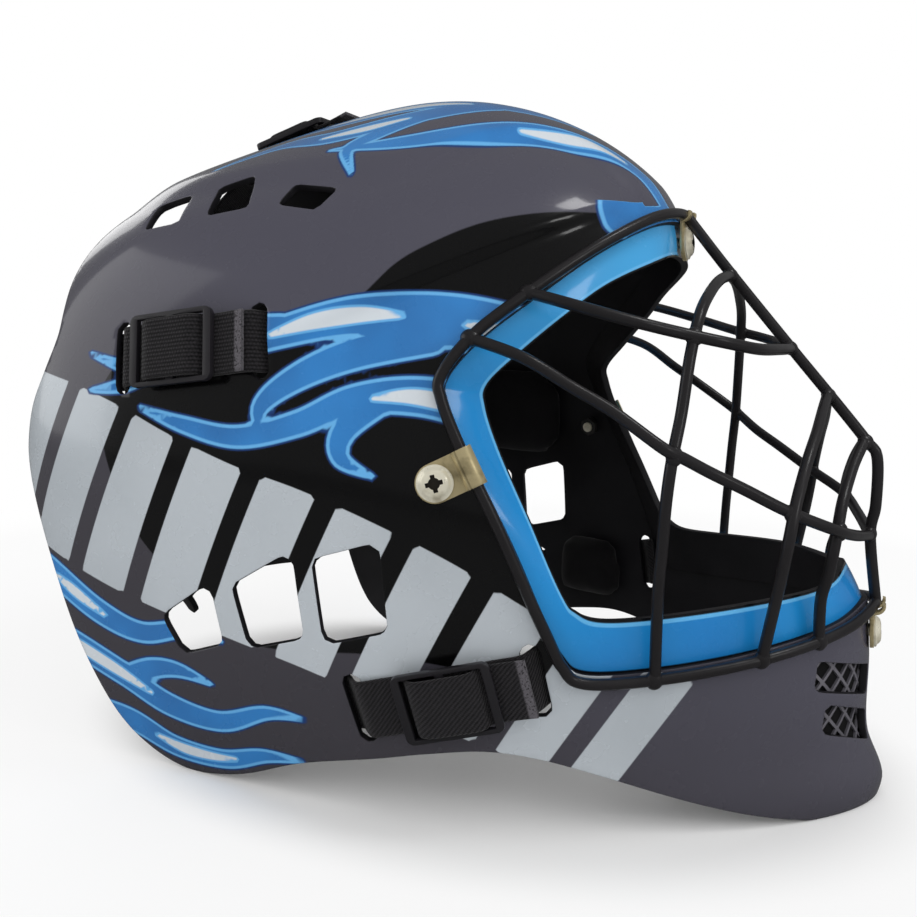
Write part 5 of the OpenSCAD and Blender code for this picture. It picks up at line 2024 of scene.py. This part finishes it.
@dataclass
class Hardware:
    """Clips, screws, nuts and the nets behind the chin slots."""

    finishes: Finishes
    fixings: dict = field(
        default_factory=lambda: {
            "clip_left": Fixing((105.734, -20.209, 129.006), (0.952, -0.2857, 0.1106)),
            "clip_right": Fixing((-105.734, -20.209, 129.006), (-0.952, -0.2857, 0.1106)),
            "clip_chin": Fixing((0, -161.426, 66.491), (0, -0.9955, 0.095), (0, -162.974, 78.29)),
            "clip_forehead": Fixing((0, -80.356, 216.287), (0, -0.9961, 0.0883), (0, -80.937, 227.799)),
        }
    )
    clip_t: float = 1.75
    hook_r: float = 6.1
    hook_scale: float = 0.72
    hook_end: float = 1.0
    grooves: tuple = (9.25, 10.75)
    groove_half: float = 0.35
    groove_d: float = 0.6
    head_r: float = 6.5
    flange_t: float = 0.7
    head_rings: tuple = ((0.5, 0.25), (0.6, 0.35), (0.35, 0.55), (0.8, 0.55), (1.2, 0.3), (1.5, 0.1))
    cross: tuple = (6.2, 1.6, 2.6)
    net_depth: float = 3.1
    # Depth of the dark sheet behind the net, which is painted shade.
    backing_depth: float = 4.05
    pitch: float = 6.6
    strand_half: float = 0.55
    slant: float = 0.9

    def build(self) -> None:
        """Makes the metal parts, most from their solids with rounded edges, and the chin nets."""
        for node, fixing in self.fixings.items():
            obj = cad_copy(node, node.replace("clip", "cage_clip"), 0.25)
            if fixing.wire:
                self.shorten(obj, np.array(fixing.foot), np.array(fixing.wire))
            else:
                self.crease(obj, np.array(fixing.foot), np.array(fixing.normal))
            finish_piece(obj, HELMET, [node], [self.finishes.clip])
        obj = join("cross_screws", [self.screw(np.array(f.foot), np.array(f.normal)) for f in self.fixings.values()])
        soften(obj, 35)
        finish_piece(obj, HELMET, ["clip_screws"])
        obj = cad_copy("clip_nuts", "hex_nuts", 0.25)
        finish_piece(obj, HELMET, ["clip_nuts"], [self.finishes.nut])
        left = self.chin_net("chin_net_l")
        right = mirror_x(left, "chin_net_r")
        finish_piece(left, HELMET, ["chin_mesh_left"])
        finish_piece(right, HELMET, ["chin_mesh_right"])

    def shorten(self, obj: Piece, foot: Array, wire: Array) -> None:
        """Draws a clip's hook tight round its wire, and cuts it square just past the wire.

        Args:
            obj: The clip.
            foot: Middle of its foot.
            wire: Middle of the wire.
        """
        reach = unit(wire - foot)
        for v in obj.data.vertices:
            v.select = math.hypot(v.co.y / MM - wire[1], v.co.z / MM - wire[2]) < self.hook_r
        cut = (wire + self.hook_end * reach) * MM
        with editing(obj, None):
            scale = (1, self.hook_scale, self.hook_scale)
            bpy.ops.transform.resize(value=scale, center_override=tuple(c * MM for c in wire.tolist()))
            bpy.ops.mesh.select_all(action="SELECT")
            bpy.ops.mesh.bisect(plane_co=cut.tolist(), plane_no=reach.tolist(), use_fill=True, clear_outer=True)
        soften(obj, 32)

    def crease(self, obj: Piece, foot: Array, n: Array) -> None:
        """Presses two cross grooves into a side clip where its foot turns into the hook.

        Args:
            obj: The clip.
            foot: Middle of its foot.
            n: Normal of the shell there.
        """
        centre = np.mean([v.co for v in obj.data.vertices], axis=0) / MM - foot
        reach = laid(centre, n)
        with editing(obj, None):
            for groove in self.grooves:
                for at in (groove - self.groove_half, groove, groove + self.groove_half):
                    bpy.ops.mesh.select_all(action="SELECT")
                    bpy.ops.mesh.bisect(plane_co=((foot + at * reach) * MM).tolist(), plane_no=reach.tolist())
        for v in obj.data.vertices:
            arm = np.array(v.co) / MM - foot
            v.select = bool(arm @ n > 1.0 and min(abs(arm @ reach - at) for at in self.grooves) < 0.02)
        with editing(obj, None):
            bpy.ops.mesh.select_mode(type="VERT")
            bpy.ops.transform.translate(value=(-self.groove_d * MM * n).tolist())
        soften(obj, 25)

    def cylinder(self, vertices: int, radius: float, depth: float, z: float) -> Piece:
        """Adds an upright cylinder on the screw's axis.

        Args:
            vertices: Points round it.
            radius: Its radius.
            depth: Its height.
            z: Height of its middle.

        Returns:
            The cylinder.
        """
        deselect()
        size = {"radius": radius * MM, "depth": depth * MM}
        bpy.ops.mesh.primitive_cylinder_add(vertices=vertices, location=(0, 0, z * MM), **size)
        bpy.ops.object.transform_apply(location=True)
        return bpy.context.object

    def sink(self, obj: Piece, tool: Piece) -> None:
        """Cuts a tool's shape out of a screw head and leaves its faces dark, as painted shade.

        Args:
            obj: The screw head.
            tool: The shape to cut out, which is used up.
        """
        bpy.ops.object.transform_apply(location=True, rotation=True, scale=True)
        dress(tool, self.finishes.recess)
        modify(obj, "BOOLEAN", operation="DIFFERENCE", object=tool, solver="EXACT", material_mode="TRANSFER")
        activate(tool)
        bpy.ops.object.delete()

    def screw(self, p: Array, n: Array) -> Piece:
        """Makes one screw: shank, flange, pan head and cross recess.

        Args:
            p: Middle of the clip's foot.
            n: Way that the head faces.

        Returns:
            The screw in its place.
        """
        obj = self.cylinder(40, self.head_r, self.flange_t, self.flange_t / 2)
        with editing(obj, None):
            mesh = bmesh.from_edit_mesh(obj.data)
            for face in mesh.faces:
                face.select = face.normal.z > 0.9
            mesh.select_mode = {"FACE"}
            mesh.select_flush_mode()
            bmesh.update_edit_mesh(obj.data)
            for inset, lift in self.head_rings:
                bpy.ops.mesh.inset(thickness=inset * MM)
                bpy.ops.transform.translate(value=(0, 0, lift * MM))
        dress(obj, self.finishes.screw, self.finishes.recess)
        for turn in (0.0, math.pi / 2):
            bpy.ops.mesh.primitive_cube_add(size=1, location=(0, 0, 2.9 * MM), rotation=(0, 0, turn))
            tool = bpy.context.object
            tool.scale = tuple(k * MM for k in self.cross)
            self.sink(obj, tool)
        self.sink(obj, self.cylinder(20, 2.1, 2.6, 3.1))
        shank = self.cylinder(24, 2.5, 11.0, -5.4)
        dress(shank, self.finishes.screw)
        join("cross_screw", [obj, shank])
        t = unit(np.cross([0.0, 0.3, 1.0], n))
        turn = Matrix(np.stack([t, np.cross(n, t), n], 1).tolist()).to_4x4()
        obj.data.transform(Matrix.Translation(Vector((p + self.clip_t * n) * MM)) @ turn)
        return obj

    def chin_net(self, name: str) -> Piece:
        """Makes the net of crossing strands that follows the wall behind the chin slots, with a dark sheet behind it
        as painted shade.

        Args:
            name: The piece's name.

        Returns:
            The net of the left side.
        """
        low = FORM.level_at(18.0)
        x = np.linspace(0, 44, 105)[None, :]
        k = np.linspace(0, 1, 101)[:, None]
        high = FORM.level_at(60.5 + 0.7 * (x - 2) / 42 * 5)
        level = low + (high - low) * k
        s = FORM.section(level)
        angle = np.degrees(np.arcsin(np.clip(x / s[..., 1], 0, 1) ** (s[..., 5] / 2)))
        p, q = (FORM.inset(level, angle, np.full(level.shape, d)) for d in (self.net_depth, self.backing_depth))
        rise, half = self.slant * p[..., 2], self.pitch / 2
        away = [np.abs((d / math.sqrt(2) + half) % self.pitch - half) for d in (p[..., 0] + rise, p[..., 0] - rise)]
        net = self.sheet(name, p, self.strand_half - np.minimum(*away), 0.9, 0)
        # A dark sheet behind the net stands for the shade inside the chin.
        backing = self.sheet(f"{name}_backing", q, 1 + 0 * p[..., 0], 0.7, 1)
        return join(name, [net, backing])

    def sheet(self, name: str, p: Array, keep: Array, thick: float, slot: int) -> Piece:
        """Makes a thick sheet over a grid of points, its outer face to the front.

        Args:
            name: The piece's name.
            p: Points by row and column.
            keep: Signed distance from the cut, positive where the sheet stays.
            thick: Its thickness.
            slot: 0 for the net's finish and 1 for the dark sheet's.

        Returns:
            The sheet.
        """
        obj = trimmed(name, p, keep, {})
        tidy_mesh(obj)
        face_along_y(obj, -1)
        modify(obj, "SOLIDIFY", thickness=thick * MM, offset=-1)
        dress(obj, self.finishes.net, self.finishes.backing)
        obj.data.polygons.foreach_set("material_index", [slot] * len(obj.data.polygons))
        soften(obj, 40)
        return obj


@dataclass
class Liner:
    """Foam pads, puffed by a short cloth simulation."""

    finishes: Finishes
    voxel: float = 4.0
    shrink: float = 0.9
    cap: float = 1.4
    pressure: float = 3.0
    tension: float = 20.0
    steps: int = 15
    pads: tuple = ("brow", "crown", "temple_left", "temple_right", "jaw_left", "jaw_right", "back")

    def build(self) -> None:
        """Makes every pad."""
        for pad in self.pads:
            node = f"foam_{pad}"
            obj = cad_copy(node, f"pad_{pad}")
            self.puff(obj)
            soften(obj, 180)
            finish_piece(obj, BACK if pad == "back" else HELMET, [node], [self.finishes.foam])

    def puff(self, obj: Piece) -> None:
        """Shrinks, remeshes and inflates one pad, and keeps it near its solid.

        Args:
            obj: The pad.
        """
        modify(obj, "DISPLACE", strength=-self.shrink * MM, mid_level=0.0)
        modify(obj, "REMESH", mode="VOXEL", voxel_size=self.voxel * MM)
        modify(obj, "SMOOTH", factor=0.5, iterations=2)
        start = [v.co.copy() for v in obj.data.vertices]
        activate(obj)
        bpy.ops.object.modifier_add(type="CLOTH")
        cloth = obj.modifiers[-1]
        cloth.settings.use_pressure = True
        cloth.settings.uniform_pressure_force = self.pressure
        cloth.settings.effector_weights.gravity = 0.0
        cloth.settings.tension_stiffness = self.tension
        cloth.settings.quality = 4
        scene = bpy.context.scene
        for step in range(self.steps):
            scene.frame_set(step + 1)
        bpy.ops.object.modifier_apply(modifier=cloth.name)
        scene.frame_set(1)
        for v, s in zip(obj.data.vertices, start):
            d = v.co - s
            if d.length > self.cap * MM:
                v.co = s + d * (self.cap * MM / d.length)
        modify(obj, "SUBSURF", levels=1, render_levels=1)


# --- Studio ---
class Lamp(NamedTuple):
    """Square soft lamp aimed at the helmet."""

    name: str
    place: tuple
    power: float
    size: float
    mirror: bool = False


@dataclass
class Studio:
    """Pale floor and backdrop, soft lamps and the camera of the photograph."""

    eye: tuple = (-407.34, -154.32, 186.64)
    yaw: float = 22.640
    pitch: float = 8.438
    roll: float = 1.216
    focal: float = 980.0
    frame: float = 917.0
    sky: float = 0.6
    sky_mirror: float = 0.16
    near: tuple = (0.3, 0.6)
    beside: tuple = (0.95, 1.25)
    beside_scale: tuple = (8.7, 6.1, 1.0)
    beside_share: float = 0.72
    ground: float = 0.9
    ground_mirror: float = 0.12
    aim: tuple = (0, 0, 0.13)
    lamps: tuple = (
        Lamp("key", (-1.0, -0.5, 1.5), 9, 1.6),
        Lamp("glint", (0.1, -0.95, 1.75), 3.2, 0.4, True),
        Lamp("streak", (0.9, 1.6, 0.85), 1.5, 0.6, True),
        Lamp("rear", (-0.75, 1.85, 0.8), 5, 1.4, True),
        Lamp("fill", (-1.7, 0.9, 0.7), 4, 1.2),
        Lamp("rim", (1.2, 0.9, 1.4), 6, 1.2),
        Lamp("face", (0.2, -1.9, 0.7), 9, 1.4),
        Lamp("plating", (-0.55, -1.7, 0.95), 1.5, 0.35, True),
    )

    def camera(self) -> None:
        """Places the camera."""
        yaw, pitch, roll = (math.radians(k) for k in (self.yaw, self.pitch, self.roll))
        w = np.array([math.cos(yaw) * math.cos(pitch), math.sin(yaw) * math.cos(pitch), -math.sin(pitch)])
        r = np.array([math.sin(yaw), -math.cos(yaw), 0.0])
        u = np.cross(r, w)
        right, up = math.cos(roll) * r + math.sin(roll) * u, math.cos(roll) * u - math.sin(roll) * r
        data = bpy.data.cameras.new("camera")
        data.sensor_fit = "HORIZONTAL"
        data.sensor_width = 36.0
        data.lens = 36.0 * self.focal / self.frame
        data.clip_start = 0.01
        camera = bpy.data.objects.new("camera", data)
        bpy.context.collection.objects.link(camera)
        rotation = Matrix([[right[k], up[k], -w[k]] for k in range(3)])
        camera.matrix_world = Matrix.Translation(Vector(self.eye) * MM) @ rotation.to_4x4()
        bpy.context.scene.camera = camera

    def hang(self, lamp: Lamp) -> None:
        """Adds one lamp, seen in reflections or not.

        Args:
            lamp: The lamp.
        """
        data = bpy.data.lights.new(lamp.name, "AREA")
        data.energy, data.size = lamp.power, lamp.size
        obj = bpy.data.objects.new(lamp.name, data)
        obj.visible_glossy = lamp.mirror
        bpy.context.collection.objects.link(obj)
        aim = Vector(self.aim) - Vector(lamp.place)
        obj.matrix_world = Matrix.Translation(lamp.place) @ aim.to_track_quat("-Z", "Y").to_matrix().to_4x4()

    def floor(self) -> None:
        """Makes the pale floor, which keeps the shadow near the helmet and is plain white far off."""
        deselect()
        bpy.ops.mesh.primitive_circle_add(vertices=96, radius=9, fill_type="NGON", location=(0, 0, 0))
        obj = bpy.context.object
        obj.name = obj.data.name = "floor"
        g = Graph("floor_white")
        tone = g.mix(g.ray("Glossy"), (self.ground,) * 3, (self.ground_mirror,) * 3)
        g.shade(Base_Color=tone, Specular_IOR_Level=0.1)
        g.shade(Roughness=g.noise(3.0) * 0.1 + 0.7)
        away = g.add("ShaderNodeVectorMath", {"operation": "LENGTH"}, [g.place()], "Value")
        white = g.add("ShaderNodeEmission", sockets={"Color": (1.0, 1.0, 1.0), "Strength": 1.0})
        flat = g.add("ShaderNodeVectorMath", {"operation": "MULTIPLY"}, [g.place(), self.beside_scale])
        beside = g.add("ShaderNodeVectorMath", {"operation": "LENGTH"}, [flat], "Value")
        mask = away.step(*self.near).most(beside.step(*self.beside) * self.beside_share) * g.ray("Camera")
        g.feed(g.output.inputs[0], g.add("ShaderNodeMixShader", sockets=[mask, g.shader.outputs[0], white]))
        dress(obj, g.material)

    def world(self) -> None:
        """Makes the even sky: white to the camera and through glass, dimmer as a light."""
        g = Graph("studio_sky", world=True)
        seen = g.ray("Camera").most(g.ray("Transmission"))
        strength = seen + (1 - seen) * (self.sky - g.ray("Glossy") * (self.sky - self.sky_mirror))
        g.shade(Color=(1.0, 1.0, 1.0), Strength=strength)
        bpy.context.scene.world = g.material

    def build(self) -> None:
        """Lights the scene and sets the view."""
        self.camera()
        self.floor()
        self.world()
        for lamp in self.lamps:
            self.hang(lamp)
        bpy.context.scene.view_settings.view_transform = "Standard"


def main() -> None:
    """Builds the helmet and its studio."""
    logging.basicConfig(level=logging.INFO, format="%(name)s %(message)s")
    Studio().build()
    finishes = Finishes()
    Shell(finishes).build()
    Cage(finishes).build()
    Harness(finishes).build()
    BackPlate(finishes).build()
    Hardware(finishes).build()
    Liner(finishes).build()


if __name__ == "__main__":
    main()
